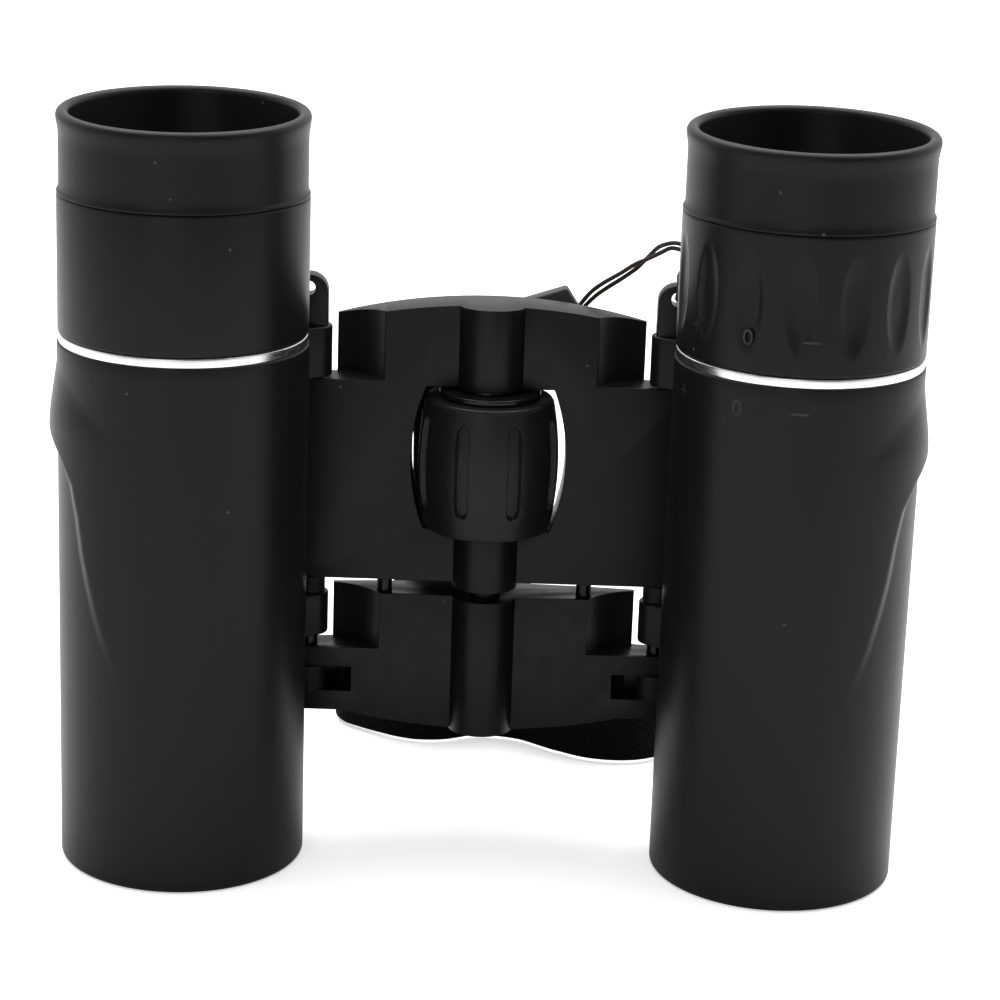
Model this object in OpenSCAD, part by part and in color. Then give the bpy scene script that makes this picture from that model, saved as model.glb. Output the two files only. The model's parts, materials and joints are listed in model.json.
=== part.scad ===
// Compact folding binoculars with roof prisms, standing on the objective ends.
// Millimetres. +X runs from the left barrel to the right one as seen from the belly side,
// +Y from the belly side to the bridge side, and +Z up towards the eyepieces.
// Inside the modules y = 0 is the plane of the barrels' axes, and z = 0 is the resting face.

/* [Barrels] */
// Distance between the two barrels' axes, fully open
axis_distance = 84.4; // [82:0.1:92]
// Outer radius of a barrel's tube
barrel_r = 17.2; // [16.8:0.1:19]
// Wall of a barrel's tube
barrel_wall = 1.6; // [1.4:0.1:2]
// Length of a barrel's tube
barrel_length = 74.7; // [73:0.1:84]
// Rounding of the tube's lower edge
foot_rounding = 0.7; // [0.4:0.1:1.2]
// Wall left round the objective's mouth
mouth_wall = 1.2; // [0.8:0.1:1.3]
// Depth of the objective's mouth
mouth_depth = 5; // [4:0.1:6]
// How far the grip ridge stands out on the outer side
ridge_height = 1.2; // [0.6:0.1:1.6]
// Height at which the grip ridge stands out most
ridge_peak_z = 64.4; // [63:0.1:66]
// Length of the slope from the ridge's peak up to the plain tube
ridge_slope = 7.6; // [5:0.1:8.2]

/* [Eyepieces] */
// Height of the bright trim ring
trim_height = 1.36; // [1:0.01:2]
// How far the trim ring stands back from the barrel's surface
trim_step = 0.2; // [0.1:0.05:0.5]
// Height of the eyepiece housing and of the dioptre ring
housing_height = 19; // [18:0.1:22]
// How far the housing and the dioptre ring stand back from the barrel's surface
housing_step = 0.1; // [0:0.05:0.3]
// Height of an eyecup
eyecup_height = 12.3; // [10:0.1:16]
// Radius of an eyecup's mouth
eyecup_mouth_r = 15.25; // [14.4:0.05:15.5]
// Thickness of an eyecup's floor
eyecup_floor = 1.9; // [1.4:0.1:2.4]
// Radius of the hole in an eyecup's floor
eyecup_window_r = 11; // [10.6:0.1:12]
// Outer radius of the fixed neck that the eyepiece turns on
neck_r = 14.6; // [14.2:0.1:15]
// Wall of the neck
neck_wall = 1; // [0.8:0.1:1.2]
// Radius of the eyepiece's lenses
eye_lens_r = 10.5; // [9.5:0.1:11]
// Number of finger flutes round the dioptre ring
flute_count = 15; // [9:1:18]
// Width of a flute
flute_width = 5; // [3:0.1:5.4]
// Length of a flute
flute_length = 14; // [10:0.5:16]
// Depth of a flute
flute_depth = 0.45; // [0.2:0.05:0.8]

/* [Objectives] */
// Radius of the objective's lenses
objective_r = 12.5; // [11:0.1:13]
// Height of the objective cell's lower end
objective_z = 9; // [8.5:0.1:10]
// Length of the objective cell
objective_length = 19; // [17.5:0.1:20]
// Height of the collar by which the focusing bar drives the cell
collar_height = 3.6; // [3:0.1:4]
// Outer radius of that collar
collar_r = 2.5; // [2.2:0.1:2.8]
// Width of the arm between the cell and its collar
arm_width = 3.4; // [2.6:0.1:4]

/* [Prisms] */
// Height of the prism cage's lower end
cage_z = 34; // [32:0.1:36]
// Length of the prism cage
cage_length = 27; // [26:0.1:28]
// Width of the chamber that holds the prisms
chamber_width = 20; // [17:0.1:22]
// Depth of that chamber, front to back
chamber_depth = 16; // [13:0.1:18]
// Height of the half prism
half_prism_height = 10; // [8:0.1:11]
// Height of the roof prism
roof_prism_height = 11.5; // [9:0.1:12]
// Thickness of the spring clip over the prisms
clip_thickness = 0.6; // [0.4:0.1:1]
// Radius of the light's way through the cage
light_r = 7; // [5:0.1:7.5]

/* [Bridge] */
// Radius of the hinge rods
rod_r = 1.25; // [1:0.05:1.5]
// Radius of the bridge's knuckles round the hinge rods
knuckle_r = 3.2; // [2.9:0.1:3.6]
// Gap between a knuckle and its barrel
knuckle_gap = 0.7; // [0.5:0.1:1.2]
// Depth of the hinge axis behind the barrels' axes
hinge_depth = 12.5; // [12:0.1:13.5]
// Distance from the bridge's flat face back to the hinge axis
face_to_hinge = 2; // [1.6:0.1:2.4]
// How far the bridge's back bulges between its hinges
bridge_crown = 1.7; // [0.6:0.1:3]
// Height of the upper bridge's lower edge
bridge_z = 37.7; // [37.5:0.1:39]
// Height of the upper bridge's top at its middle
bridge_top_z = 78.4; // [77.5:0.1:80]
// Drop of the arched top at the hinges
arch_drop = 3.6; // [2:0.1:5]
// Height of the ledges that the barrels' upper lugs stand over
ledge_z = 67.1; // [66:0.1:68]
// Radius of the hollows cut for the swinging lugs
hollow_r = 9.6; // [9.2:0.1:9.9]
// Radius of the barrels' hinge lugs
lug_r = 2.7; // [2.4:0.1:2.9]
// Height of the upper lugs
lug_height = 7.3; // [6:0.1:7.3]
// Height of the lower lugs
lower_lug_height = 6.2; // [4:0.1:6.6]
// Radius of the round ribs down the middle of the bridge
rib_r = 4.7; // [4.2:0.1:5.2]
// How far the focusing axis lies in front of the hinge axes
spindle_forward = 0.7; // [0:0.1:1]
// How far the middle rib hangs below the upper bridge
rib_drop = 0.7; // [0.2:0.1:0.8]

/* [Focusing] */
// Greatest radius of the focusing wheel
wheel_r = 10; // [9:0.1:10.2]
// Height of the focusing wheel's lower end
wheel_z = 45.95; // [45.5:0.05:47]
// Height of the focusing wheel
wheel_height = 20.15; // [18:0.05:20.3]
// How much slimmer the wheel's ends are than its middle
wheel_taper = 1; // [0.3:0.1:1.6]
// Clear space beside the wheel at its middle
window_side_gap = 1; // [0.6:0.1:1.4]
// Clear space above and below the wheel
window_end_gap = 0.38; // [0.36:0.01:0.6]
// Number of grooves round the wheel
groove_count = 8; // [4:1:12]
// Width of a groove
groove_width = 2.1; // [1:0.1:2.6]
// Length of a groove
groove_length = 13; // [8:0.5:15]
// Depth of a groove
groove_depth = 0.8; // [0.3:0.1:1.2]
// Radius of the focusing spindle
spindle_r = 2.5; // [2:0.1:2.8]
// Height of the spindle's upper end
spindle_top_z = 60; // [58:0.1:60.3]
// Distance of the guide rods from the middle
guide_x = 14.4; // [14:0.1:14.6]
// Radius of the guide rods
guide_r = 1.1; // [0.8:0.1:1.2]

/* [Lower bridge] */
// Height of the lower bridge's top
bar_top_z = 35.5; // [34:0.1:35.5]
// Height of the lowest point of the bar's middle
bar_bottom_z = 15.2; // [14:0.1:16]
// Height of the underside of the bar's arms
arm_bottom_z = 17.5; // [17:0.1:18]
// Height of the ledges that the barrels' lower lugs stand over
bar_ledge_z = 27.1; // [26.6:0.1:27.4]
// Height of the lower side of the collar's slot
collar_slot_z = 20.4; // [20:0.1:20.6]
// Distance of the collar slot's inner end from the middle
collar_slot_x = 18.9; // [18:0.1:20]
// How much further out that end lies at the bridge's back
collar_slot_slant = 3.2; // [2:0.1:3.4]
// How far the lower bridge goes up from rest
travel_up = 1.2; // [0.6:0.1:1.2]
// How far the lower bridge goes down from rest
travel_down = 2; // [1:0.1:2.2]

/* [Fittings] */
// Height of a strap eye above its lug
eye_height = 7.4; // [6:0.1:7.8]
// Width of a strap eye
eye_width = 5.4; // [5:0.1:5.6]
// Thickness of a strap eye
eye_thickness = 3; // [2:0.1:3.2]
// Width of the slot in a strap eye
eye_slot = 1.7; // [1.5:0.1:2.2]
// Height of that slot
eye_slot_height = 2; // [1.8:0.1:3]
// Width of the blank plate on the bridge's back
plate_width = 18; // [14:0.5:20]
// Space between that plate and the wheel's window, and as much above it
plate_margin = 1.76; // [1.5:0.01:2.4]
// Thickness of that plate
plate_thickness = 0.8; // [0.5:0.1:1.2]
// Distance of the plate's screws from the middle
plate_screw_x = 6.5; // [5:0.1:7]

/* [Strap] */
// Diameter of the strap's cord
cord_d = 0.65; // [0.5:0.05:0.7]
// Width of the strap's webbing
band_width = 11; // [8:0.5:11]
// Thickness of the webbing
band_thickness = 1.1; // [0.8:0.1:1.3]
// Length of the tab that joins cord and webbing
tab_length = 14; // [12:0.5:15]
// Width of the tab
tab_width = 12; // [11:0.5:13]
// Thickness of the tab
tab_thickness = 2.8; // [2.4:0.1:3]

/* [Clearances] */
// Radial clearance of a pin, screw or ring in its seat
seat_gap = 0.03; // [0.02:0.01:0.08]
// Radial clearance of what turns or slides
run_gap = 0.06; // [0.03:0.01:0.1]
// Axial clearance between stacked pieces of one barrel
stack_gap = 0.05; // [0.03:0.01:0.1]

/* [Hidden] */
$fn = 64;
cut = 0.5;           // how far a cutter reaches past what it cuts
fine_cut = 0.01;     // overlap of pieces of one solid, so that they join
ridge_tuck = 0.8;    // how much less than the barrel's radius the grip ridge's is

plastic = [0.06, 0.06, 0.065];
rubber = [0.05, 0.05, 0.05];
steel = [0.62, 0.63, 0.65];
bright = [0.85, 0.86, 0.88];
brass = [0.72, 0.58, 0.3];
lens_blue = [0.55, 0.6, 0.75, 0.5];
cord_black = [0.07, 0.07, 0.08];

// Hinges and the focusing axis
hinge_distance = barrel_r + knuckle_gap + knuckle_r;
hinge_inward = sqrt(pow(hinge_distance, 2) - pow(hinge_depth, 2));
barrel_x = axis_distance / 2;
hinge_x = barrel_x - hinge_inward;
hinge_bearing = atan2(-hinge_depth, hinge_inward);
face_y = hinge_depth - face_to_hinge;
spindle_y = hinge_depth - spindle_forward;
back_y = hinge_depth + knuckle_r + bridge_crown;
back_arc_r = (pow(hinge_x, 2) + pow(bridge_crown, 2)) / (2 * bridge_crown);
arch_r = (pow(hinge_x, 2) + pow(arch_drop, 2)) / (2 * arch_drop);
arm_reach = hinge_x + knuckle_r;

// The plane of the barrels' axes, with the whole object's box centred front to back
plane_y = -((spindle_y + wheel_r) - barrel_r) / 2;

// Barrels, from the resting face up
bore_r = barrel_r - barrel_wall;
mouth_r = barrel_r - mouth_wall;
upper_lug_z = ledge_z + 0.2;
upper_lug_top = upper_lug_z + lug_height;
lower_lug_z = bar_ledge_z + travel_up + 0.65;
lower_lug_top = lower_lug_z + lower_lug_height;
eye_top = upper_lug_top + eye_height;
eye_offset = 0.6;    // how far the strap eye's middle lies outside the hinge axis
eye_bar = 1;         // height of the bar over the strap eye's slot
rod_end_gap = 0.5;   // from a rod's end to the bottom of its blind bore
rod_cover = 0.7;     // material over the hinge rod's upper end

// Eyepieces
trim_z = barrel_length;
housing_z = trim_z + trim_height + stack_gap;
eyecup_z = housing_z + housing_height;
overall_height = eyecup_z + eyecup_height;
trim_r = barrel_r - trim_step;
housing_r = barrel_r - housing_step;
neck_bore_r = neck_r - neck_wall;
sleeve_length = 8.7; // how deep the neck's flange sits in the barrel
neck_top = eyecup_z - 0.5;
ocular_travel = 0.8; // either way, from the dioptre ring
cell_top = neck_top - 0.7;
cell_inset = 1.6;
cell_length = housing_height - cell_inset;
cell_r = neck_bore_r - run_gap;
cell_wall = cell_r - eye_lens_r - seat_gap;
field_lens_height = 3.6;
eye_lens_height = 4.2;
lens_shoulder = 0.7; // how far a lens's shoulder reaches in under its edge

// Focusing
wheel_top = wheel_z + wheel_height;
wheel_mid = wheel_z + wheel_height / 2;
window_z = wheel_z - window_end_gap;
window_top = wheel_top + window_end_gap;
window_half = wheel_r + window_side_gap;
window_bulge = wheel_taper + 0.8;
hub_flange = 0.95;   // height of the hub's bright flange
hub_r = 5.5;
pivot_r = 1.5;
pivot_in_hub = 4.3;
pivot_in_bridge = 7.5;
washer_r = 3.6;

// Lower bridge
collar_slot_height = collar_height + 2 * stack_gap + 0.1;
arm_z = collar_slot_z + (collar_slot_height - collar_height) / 2;
spindle_foot = 2.4;
spindle_z = bar_bottom_z + spindle_foot;
screw_head_r = 2.2;
screw_r = 0.9;
screw_length = 5.5;  // from the spindle's lower end
guide_foot = 4.5;
guide_z = arm_bottom_z + guide_foot;
guide_in_bridge = 12;
belly_inset = 5;       // how far inside the hinge axes the belly ends
guide_top = bridge_z + guide_in_bridge;
hollow_x = hinge_x - 1.8;
hollow_forward = 6.6;   // how far before the hinge axis the lug hollow's axis lies
hollow_y = hinge_depth - hollow_forward;
lug_room = 0.6;        // round a lug, to the wall behind it

// Strap: the cord's loop and the webbing's loop, as points that they pass through.
// x from the middle, y from the barrels' plane, z from the resting face.
tab_slant = 3.2;     // how much further the tab's lower corner reaches
tab_tilt = 18.6;     // degrees that the tab's cord end is turned up
tab_end = [12.5, 23.8, 73];
cord_route = [
    [11.5, 23.4, 74.1], [12.1, 23.55, 75.14], [12.92, 23.6, 76.53], [14.29, 23.3, 78.25],
    [15.99, 22.9, 79.65], [18.2, 22.4, 81.15], [20.1, 21.62, 82.64], [21.94, 20.8, 83.71],
    [23.66, 20.32, 84.73], [24.83, 19.8, 85.48], [25.84, 18.9, 85.67], [26.95, 17.9, 85.36],
    [27.8, 16.6, 83.9], [27.1, 15.2, 81.6], [26.1, 14.2, 80.3], [25.8, 12.5, 79.95],
    [25.8, 10.9, 80.05], [25.8, 9.95, 80.9], [25.8, 9.85, 81.9], [25.8, 10.6, 82.8],
    [25.9, 12.4, 83.1], [26.4, 14.4, 83.5], [27.2, 16.2, 84.9], [27.19, 17.9, 86.12],
    [25.84, 18.9, 86.47], [24.53, 19.8, 86.16], [23.22, 20.88, 85.31], [21.94, 21.8, 83.71],
    [20.54, 22.18, 82.08], [18.66, 22.4, 80.55], [16.53, 22.9, 78.95], [14.91, 23.3, 77.63],
    [13.5, 23.6, 76.11], [12.68, 24.15, 74.78], [11.9, 24.3, 73.7]
];
band_route = [
    [2.1, 23.2, 69.5], [-0.8, 23.2, 68.5], [-4.2, 23.2, 65.95], [-5.5, 23.2, 61.9],
    [-5.5, 23.3, 55], [-5.4, 24.2, 48], [-5.4, 27.2, 41.2], [-6.3, 31.5, 34.5],
    [-8.4, 37.5, 28], [-10.6, 44, 21], [-13.2, 50, 15], [-16, 54.6, 10.4], [-18.8, 57, 7.6],
    [-21.4, 56.6, 6.4], [-22.6, 53.6, 6.1], [-21.4, 50.4, 6], [-18.6, 48, 6], [-15.6, 46, 6],
    [-12.8, 44.4, 6], [-9.6, 43.4, 6], [-5.4, 43.8, 6], [-0.4, 46, 6], [6, 45, 6],
    [12, 40.6, 6], [18, 37.4, 6], [24.5, 37.4, 6], [29.5, 41, 6], [31.5, 47.5, 6],
    [30, 54.5, 6], [24.5, 60, 6.2], [17, 62, 7.4], [10.5, 60.5, 10.5], [5.5, 56.5, 16],
    [2, 51, 23], [-0.5, 44.5, 31], [-2.4, 38, 39.5], [-4.2, 32.2, 48], [-5.2, 28.2, 55.5],
    [-5.5, 25.7, 61.9], [-4.2, 24.7, 65.95], [-0.8, 24.5, 68.5], [2.1, 24.5, 69.5]
];
// The way that the webbing's width points at each point of its route: upright on the floor
upright = [0, 0, 1];
band_lean = concat(
    [[-0.32, 0, 0.95], [-0.32, 0, 0.95], [-0.81, 0, 0.58], [-0.98, 0, 0.15], [-1, 0, 0], [-1, 0, 0]],
    [[-1, 0, 0], [-0.95, 0, 0.1], [-0.85, 0.2, 0.35], [-0.6, 0.3, 0.7], [-0.35, 0.3, 0.85]],
    [[-0.15, 0.2, 0.95]],
    [for (i = [12 : 30]) upright],
    [[0.3, 0, 0.95], [0.6, 0, 0.8], [0.85, 0, 0.5], [0.97, 0, 0.2], [1, 0, 0], [1, 0, 0]],
    [[1, 0, -0.05], [0.98, 0, -0.15], [0.81, 0, -0.58], [0.32, 0, -0.95], [0.32, 0, -0.95]]
);

// ---- Helpers ----

// Puts a piece drawn from the barrels' plane into the object's own frame
module in_frame() translate([0, plane_y, 0]) children();
module on_right() in_frame() translate([barrel_x, 0, 0]) children();
module on_left() in_frame() mirror([1, 0, 0]) translate([barrel_x, 0, 0]) children();
module on_both_sides() {
    children();
    mirror([1, 0, 0]) children();
}
module disc(r, z0, z1) translate([0, 0, z0]) cylinder(r = r, h = z1 - z0);
module tube(r_out, r_in, z0, z1) {
    difference() {
        disc(r_out, z0, z1);
        disc(r_in, z0 - cut, z1 + cut);
    }
}
// A 2D shape with z up, as a slab from y0 back to y1
module slab(y0, y1) translate([0, y1, 0]) rotate([90, 0, 0]) linear_extrude(height = y1 - y0) children();
// The wide arcs are drawn finely, because a coarse one would cut the bridges too thin
arc_steps = 240;
// A cylinder along y
module cross_disc(r, x, z, y0, y1) slab(y0, y1) translate([x, z]) circle(r);
module cross_arc(r, x, z) cross_disc(r, x, z, 0, 2 * back_y, $fn = arc_steps);
// The inside of the arc that bounds the bridges' backs
module back_arc(inset, z0, z1)
    translate([0, back_y - back_arc_r, 0]) disc(back_arc_r - inset, z0, z1, $fn = arc_steps);
module rounded_square(w, h, r) {
    square([w - 2 * r, h], center = true);
    square([w, h - 2 * r], center = true);
    for (i = [-1, 1], j = [-1, 1]) translate([i * (w / 2 - r), j * (h / 2 - r)]) circle(r);
}
// The radius of the sphere that bulges by b over a lens of radius r
function dome_r(r, b) = (r * r + b * b) / (2 * b);
// How far a face that bulges by b over a lens of radius edge still stands out at radius r
function rim_bulge(b, edge, r) = b * (1 - pow(r / edge, 2));
// A lens with its edge from z0 to z1. A face bulges where its number is above 0, and is hollow below 0.
module lens(r, z0, z1, top, bottom) {
    rotate_extrude() intersection() {
        difference() {
            union() {
                translate([0, z0]) square([r, z1 - z0]);
                if (top > 0) cap(r, z1, top, 1);
                if (bottom > 0) cap(r, z0, bottom, -1);
            }
            if (top < 0) dome(r, z1, -top, -1);
            if (bottom < 0) dome(r, z0, -bottom, 1);
        }
        translate([0, z0 - r]) square([r, z1 - z0 + 2 * r]);
    }
}
module dome(r, z, b, way) translate([0, z + way * (b - dome_r(r, b))]) circle(dome_r(r, b), $fn = 240);
module cap(r, z, b, way) {
    intersection() {
        dome(r, z, b, way);
        translate([0, way > 0 ? z - fine_cut : z - b - cut]) square([r, b + cut + fine_cut]);
    }
}

// ---- Sweeps for the strap ----

function unit(v) = v / norm(v);
// A smooth curve through the points, with n steps from each to the next
function smooth(p, n) = [
    for (i = [0 : len(p) - 2], k = [0 : n - 1]) curve_at(p, i, k / n),
    p[len(p) - 1]
];
function curve_at(p, i, t) =
    let (a = p[max(i - 1, 0)], b = p[i], c = p[i + 1], d = p[min(i + 2, len(p) - 1)])
    0.5 * (2 * b + (c - a) * t + (2 * a - 5 * b + 4 * c - d) * t * t + (3 * b - a - 3 * c + d) * t * t * t);
function heading(p, i) = unit(p[min(i + 1, len(p) - 1)] - p[max(i - 1, 0)]);
// Directions across the line that turn as little as they can
function carried(p, i, u) =
    let (t = heading(p, i), v = unit(u - (u * t) * t))
    i == len(p) - 1 ? [v] : concat([v], carried(p, i + 1, v));
function ring_faces(rings, sides) = concat(
    [for (i = [0 : rings - 2], j = [0 : sides - 1])
        [i * sides + j, (i + 1) * sides + j, (i + 1) * sides + (j + 1) % sides]],
    [for (i = [0 : rings - 2], j = [0 : sides - 1])
        [i * sides + j, (i + 1) * sides + (j + 1) % sides, i * sides + (j + 1) % sides]],
    [[for (j = [0 : sides - 1]) j]],
    [[for (j = [0 : sides - 1]) rings * sides - 1 - j]]
);
module round_sweep(p, r, sides) {
    across = carried(p, 0, unit(cross(heading(p, 0), [0, 1, 0])));
    points = [for (i = [0 : len(p) - 1], j = [0 : sides - 1])
        let (t = heading(p, i), u = across[i], v = cross(t, u), a = 360 * j / sides)
        p[i] + r * (cos(a) * u + sin(a) * v)];
    polyhedron(points = points, faces = ring_faces(len(p), sides), convexity = 6);
}
// A ribbon whose width points along lean, square to its own heading
module ribbon_sweep(p, lean, width, thickness) {
    points = [for (i = [0 : len(p) - 1], c = [[-1, -1], [-1, 1], [1, 1], [1, -1]])
        let (t = heading(p, i), w = unit(lean[i] - (lean[i] * t) * t), n = cross(t, w))
        p[i] + c[0] * width / 2 * w + c[1] * thickness / 2 * n];
    polyhedron(points = points, faces = ring_faces(len(p), 4), convexity = 6);
}

// ---- Upper bridge and what is fixed to it ----

// The plan of both bridges: a flat face, round knuckles and a gently bulging back
module bridge_plan(z0, z1) {
    intersection() {
        union() {
            translate([-hinge_x, face_y, z0]) cube([2 * hinge_x, back_y - face_y, z1 - z0]);
            on_both_sides() translate([hinge_x, hinge_depth, 0]) disc(knuckle_r, z0, z1);
        }
        translate([-arm_reach - cut, face_y, z0 - cut])
            cube([2 * (arm_reach + cut), back_y, z1 - z0 + 2 * cut]);
        back_arc(0, z0 - cut, z1 + cut);
    }
}
module rod_bores(r, z0, z1) on_both_sides() translate([hinge_x, hinge_depth, 0]) disc(r, z0, z1);
module guide_bores(r, z0, z1) on_both_sides() translate([guide_x, hinge_depth, 0]) disc(r, z0, z1);
// The hollow in front of a lug, open to the back beside it
module lug_hollows(z0, z1) on_both_sides() {
    translate([hollow_x, hollow_y, 0]) disc(hollow_r, z0, z1);
    translate([hinge_x - lug_r - lug_room, hinge_depth, z0]) cube([arm_reach, 2 * back_y, z1 - z0]);
}
module wheel_window() {
    side_r = (pow(wheel_height / 2, 2) + pow(window_bulge, 2)) / (2 * window_bulge);
    intersection() {
        translate([-window_half, 0, window_z])
            cube([2 * window_half, 2 * back_y, window_top - window_z]);
        cross_arc(side_r, side_r - window_half, wheel_mid);
        cross_arc(side_r, window_half - side_r, wheel_mid);
    }
}
module plate_slab(w, h, t) {
    intersection() {
        translate([0, 0, plate_mid]) slab(spindle_y, back_y + cut) rounded_square(w, h, 1.5);
        difference() {
            back_arc(0, bridge_z, bridge_top_z);
            back_arc(t, bridge_z - cut, bridge_top_z + cut);
        }
    }
}
plate_mid = (window_top + bridge_top_z) / 2;
plate_height = bridge_top_z - window_top - 2 * plate_margin;
plate_head_r = 1.3;
plate_shank_r = 0.7;
plate_head = 0.5;
plate_sunk = 0.1;
plate_screw_depth = 4;
module plate_screw_shapes(head_r, shank_r, depth) {
    for (x = [-1, 1] * plate_screw_x) {
        screw_back = back_y - back_arc_r + sqrt(pow(back_arc_r, 2) - x * x) - plate_sunk;
        cross_disc(head_r, x, plate_mid, screw_back - plate_head, screw_back);
        cross_disc(shank_r, x, plate_mid, screw_back - depth, screw_back - plate_head + fine_cut);
    }
}
module upper_bridge() {
    color(plastic) difference() {
        union() {
            intersection() {
                bridge_plan(bridge_z, bridge_top_z);
                cross_arc(arch_r, 0, bridge_top_z - arch_r);
            }
            intersection() {
                translate([0, spindle_y, 0]) disc(rib_r, bridge_z - rib_drop, bridge_top_z);
                union() {
                    cross_arc(arch_r, 0, bridge_top_z - arch_r);
                    translate([-rib_r, 0, 0]) cube([2 * rib_r, 2 * back_y, bridge_top_z - arch_drop]);
                }
                back_arc(0, 0, bridge_top_z);
            }
        }
        wheel_window();
        lug_hollows(ledge_z, bridge_top_z + cut);
        rod_bores(rod_r + seat_gap, bridge_z - cut, ledge_z + cut);
        guide_bores(guide_r + seat_gap, bridge_z - cut, guide_top + rod_end_gap);
        translate([0, spindle_y, 0]) disc(spindle_r + run_gap, bridge_z - rib_drop - cut, window_z + cut);
        translate([0, spindle_y, 0])
            disc(pivot_r + seat_gap, window_top - cut, window_top + pivot_in_bridge + rod_end_gap);
        plate_slab(plate_width + 2 * seat_gap, plate_height + 2 * seat_gap, plate_thickness + seat_gap);
        plate_screw_shapes(plate_shank_r + seat_gap, plate_shank_r + seat_gap, plate_screw_depth + rod_end_gap);
    }
}
module bridge_plate() {
    color(plastic) difference() {
        plate_slab(plate_width, plate_height, plate_thickness);
        plate_screw_shapes(plate_head_r + seat_gap, plate_shank_r + seat_gap, plate_screw_depth);
    }
}
module plate_screws() color(steel) plate_screw_shapes(plate_head_r, plate_shank_r, plate_screw_depth);
hinge_rod_z = arm_bottom_z + 0.1;
module hinge_rod()
    color(steel) translate([hinge_x, hinge_depth, 0]) disc(rod_r, hinge_rod_z, upper_lug_top - rod_cover - rod_end_gap);
module guide_rods() color(steel) guide_bores(guide_r, guide_z, guide_top);
module hinge_spacers()
    color(steel) on_both_sides() translate([hinge_x, hinge_depth, 0])
        tube(rod_r + 0.95, rod_r + run_gap, lower_lug_top + 0.1, bridge_z - 0.05);
module wheel_pivot_pin()
    color(steel) translate([0, spindle_y, 0]) disc(pivot_r, wheel_top - pivot_in_hub, window_top + pivot_in_bridge);
module wheel_washer()
    color(bright) translate([0, spindle_y, 0])
        tube(washer_r, pivot_r + seat_gap, wheel_top + 0.06, window_top);

// ---- Focusing wheel ----

hub_bore_top = wheel_top - pivot_in_hub - rod_end_gap / 2;
module wheel_hub() {
    color(brass) translate([0, spindle_y, 0]) difference() {
        union() {
            disc(hub_r, wheel_z, wheel_top);
            disc(wheel_r - wheel_taper - 1.8, wheel_top - hub_flange, wheel_top);
        }
        disc(spindle_r + run_gap, wheel_z - cut, hub_bore_top);
        disc(pivot_r + run_gap, wheel_z, wheel_top + cut);
    }
}
grip_top = wheel_top - hub_flange - 0.02;
module wheel_grip() {
    grip_half = (grip_top - wheel_z) / 2;
    side_r = (pow(grip_half, 2) + pow(wheel_taper, 2)) / (2 * wheel_taper);
    color(rubber) translate([0, spindle_y, 0]) difference() {
        rotate_extrude() intersection() {
            translate([hub_r + seat_gap, wheel_z]) square([wheel_r, 2 * grip_half]);
            translate([wheel_r - side_r, wheel_z + grip_half]) circle(side_r);
        }
        for (i = [0 : groove_count - 1])
            rotate([0, 0, (i + 0.5) * 360 / groove_count - 90])
                translate([0, 0, wheel_z + grip_half]) groove_cutter();
    }
}
// A round-ended slot that runs up the wheel, cut in from +x
module groove_cutter() {
    straight = groove_length - groove_width;
    translate([wheel_r - groove_depth, 0, 0]) {
        translate([0, -groove_width / 2, -straight / 2]) cube([groove_depth + cut, groove_width, straight]);
        for (z = [-1, 1] * straight / 2)
            translate([0, 0, z]) rotate([0, 90, 0]) cylinder(d = groove_width, h = groove_depth + cut);
    }
}

// ---- Lower bridge and focusing spindle ----

module lower_bridge() {
    belly_half = hinge_x - belly_inset;
    belly = arm_bottom_z - bar_bottom_z;
    belly_r = (pow(belly_half, 2) + pow(belly, 2)) / (2 * belly);
    color(plastic) difference() {
        union() {
            bridge_plan(arm_bottom_z, bar_top_z);
            intersection() {
                bridge_plan(bar_bottom_z, arm_bottom_z + cut);
                cross_arc(belly_r, 0, bar_bottom_z + belly_r);
                translate([-belly_half, 0, 0]) cube([2 * belly_half, 2 * back_y, bar_top_z]);
            }
            intersection() {
                translate([0, spindle_y, 0]) disc(rib_r, bar_bottom_z, bar_top_z);
                back_arc(0, 0, bridge_top_z);
            }
        }
        lug_hollows(bar_ledge_z, bar_top_z + cut);
        on_both_sides() translate([0, 0, collar_slot_z]) linear_extrude(collar_slot_height) polygon([
            [collar_slot_x, 0], [collar_slot_x + arm_reach, 0],
            [collar_slot_x + arm_reach, 2 * back_y], [collar_slot_x + collar_slot_slant, 2 * back_y],
            [collar_slot_x + collar_slot_slant, back_y], [collar_slot_x, face_y + 0.2]
        ]);
        rod_bores(rod_r + run_gap, arm_bottom_z - cut, bar_top_z);
        guide_bores(guide_r + run_gap, guide_z - travel_up - rod_end_gap, bar_top_z + cut);
        translate([0, spindle_y, 0]) {
            disc(spindle_r + seat_gap, spindle_z - seat_gap, bar_top_z + cut);
            disc(screw_r + 0.2, bar_bottom_z - cut, spindle_z);
            disc(screw_head_r + seat_gap, bar_bottom_z - cut, bar_bottom_z + 1.5);
        }
    }
}
thread_pitch = 1.2;
thread_z = wheel_z + 2;
thread_depth = 0.25;
module focus_spindle() {
    turns = floor((spindle_top_z - thread_z - 1) / thread_pitch);
    profile = concat(
        [[0, spindle_z], [spindle_r, spindle_z]],
        [for (i = [0 : turns - 1], s = [0, 0.5])
            [spindle_r - (s > 0 ? thread_depth : 0), thread_z + (i + s) * thread_pitch]],
        [[spindle_r, thread_z + turns * thread_pitch], [spindle_r, spindle_top_z], [0, spindle_top_z]]
    );
    color(steel) translate([0, spindle_y, 0]) difference() {
        rotate_extrude() polygon(profile);
        disc(screw_r + seat_gap, spindle_z - cut, spindle_z + screw_length + rod_end_gap);
    }
}
module spindle_screw() {
    color(steel) translate([0, spindle_y, 0]) {
        difference() {
            disc(screw_head_r, bar_bottom_z + 0.2, bar_bottom_z + 1.45);
            disc(1, bar_bottom_z, bar_bottom_z + 0.8, $fn = 6);
        }
        disc(screw_r, bar_bottom_z + 1.45 - fine_cut, spindle_z + screw_length);
    }
}

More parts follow.
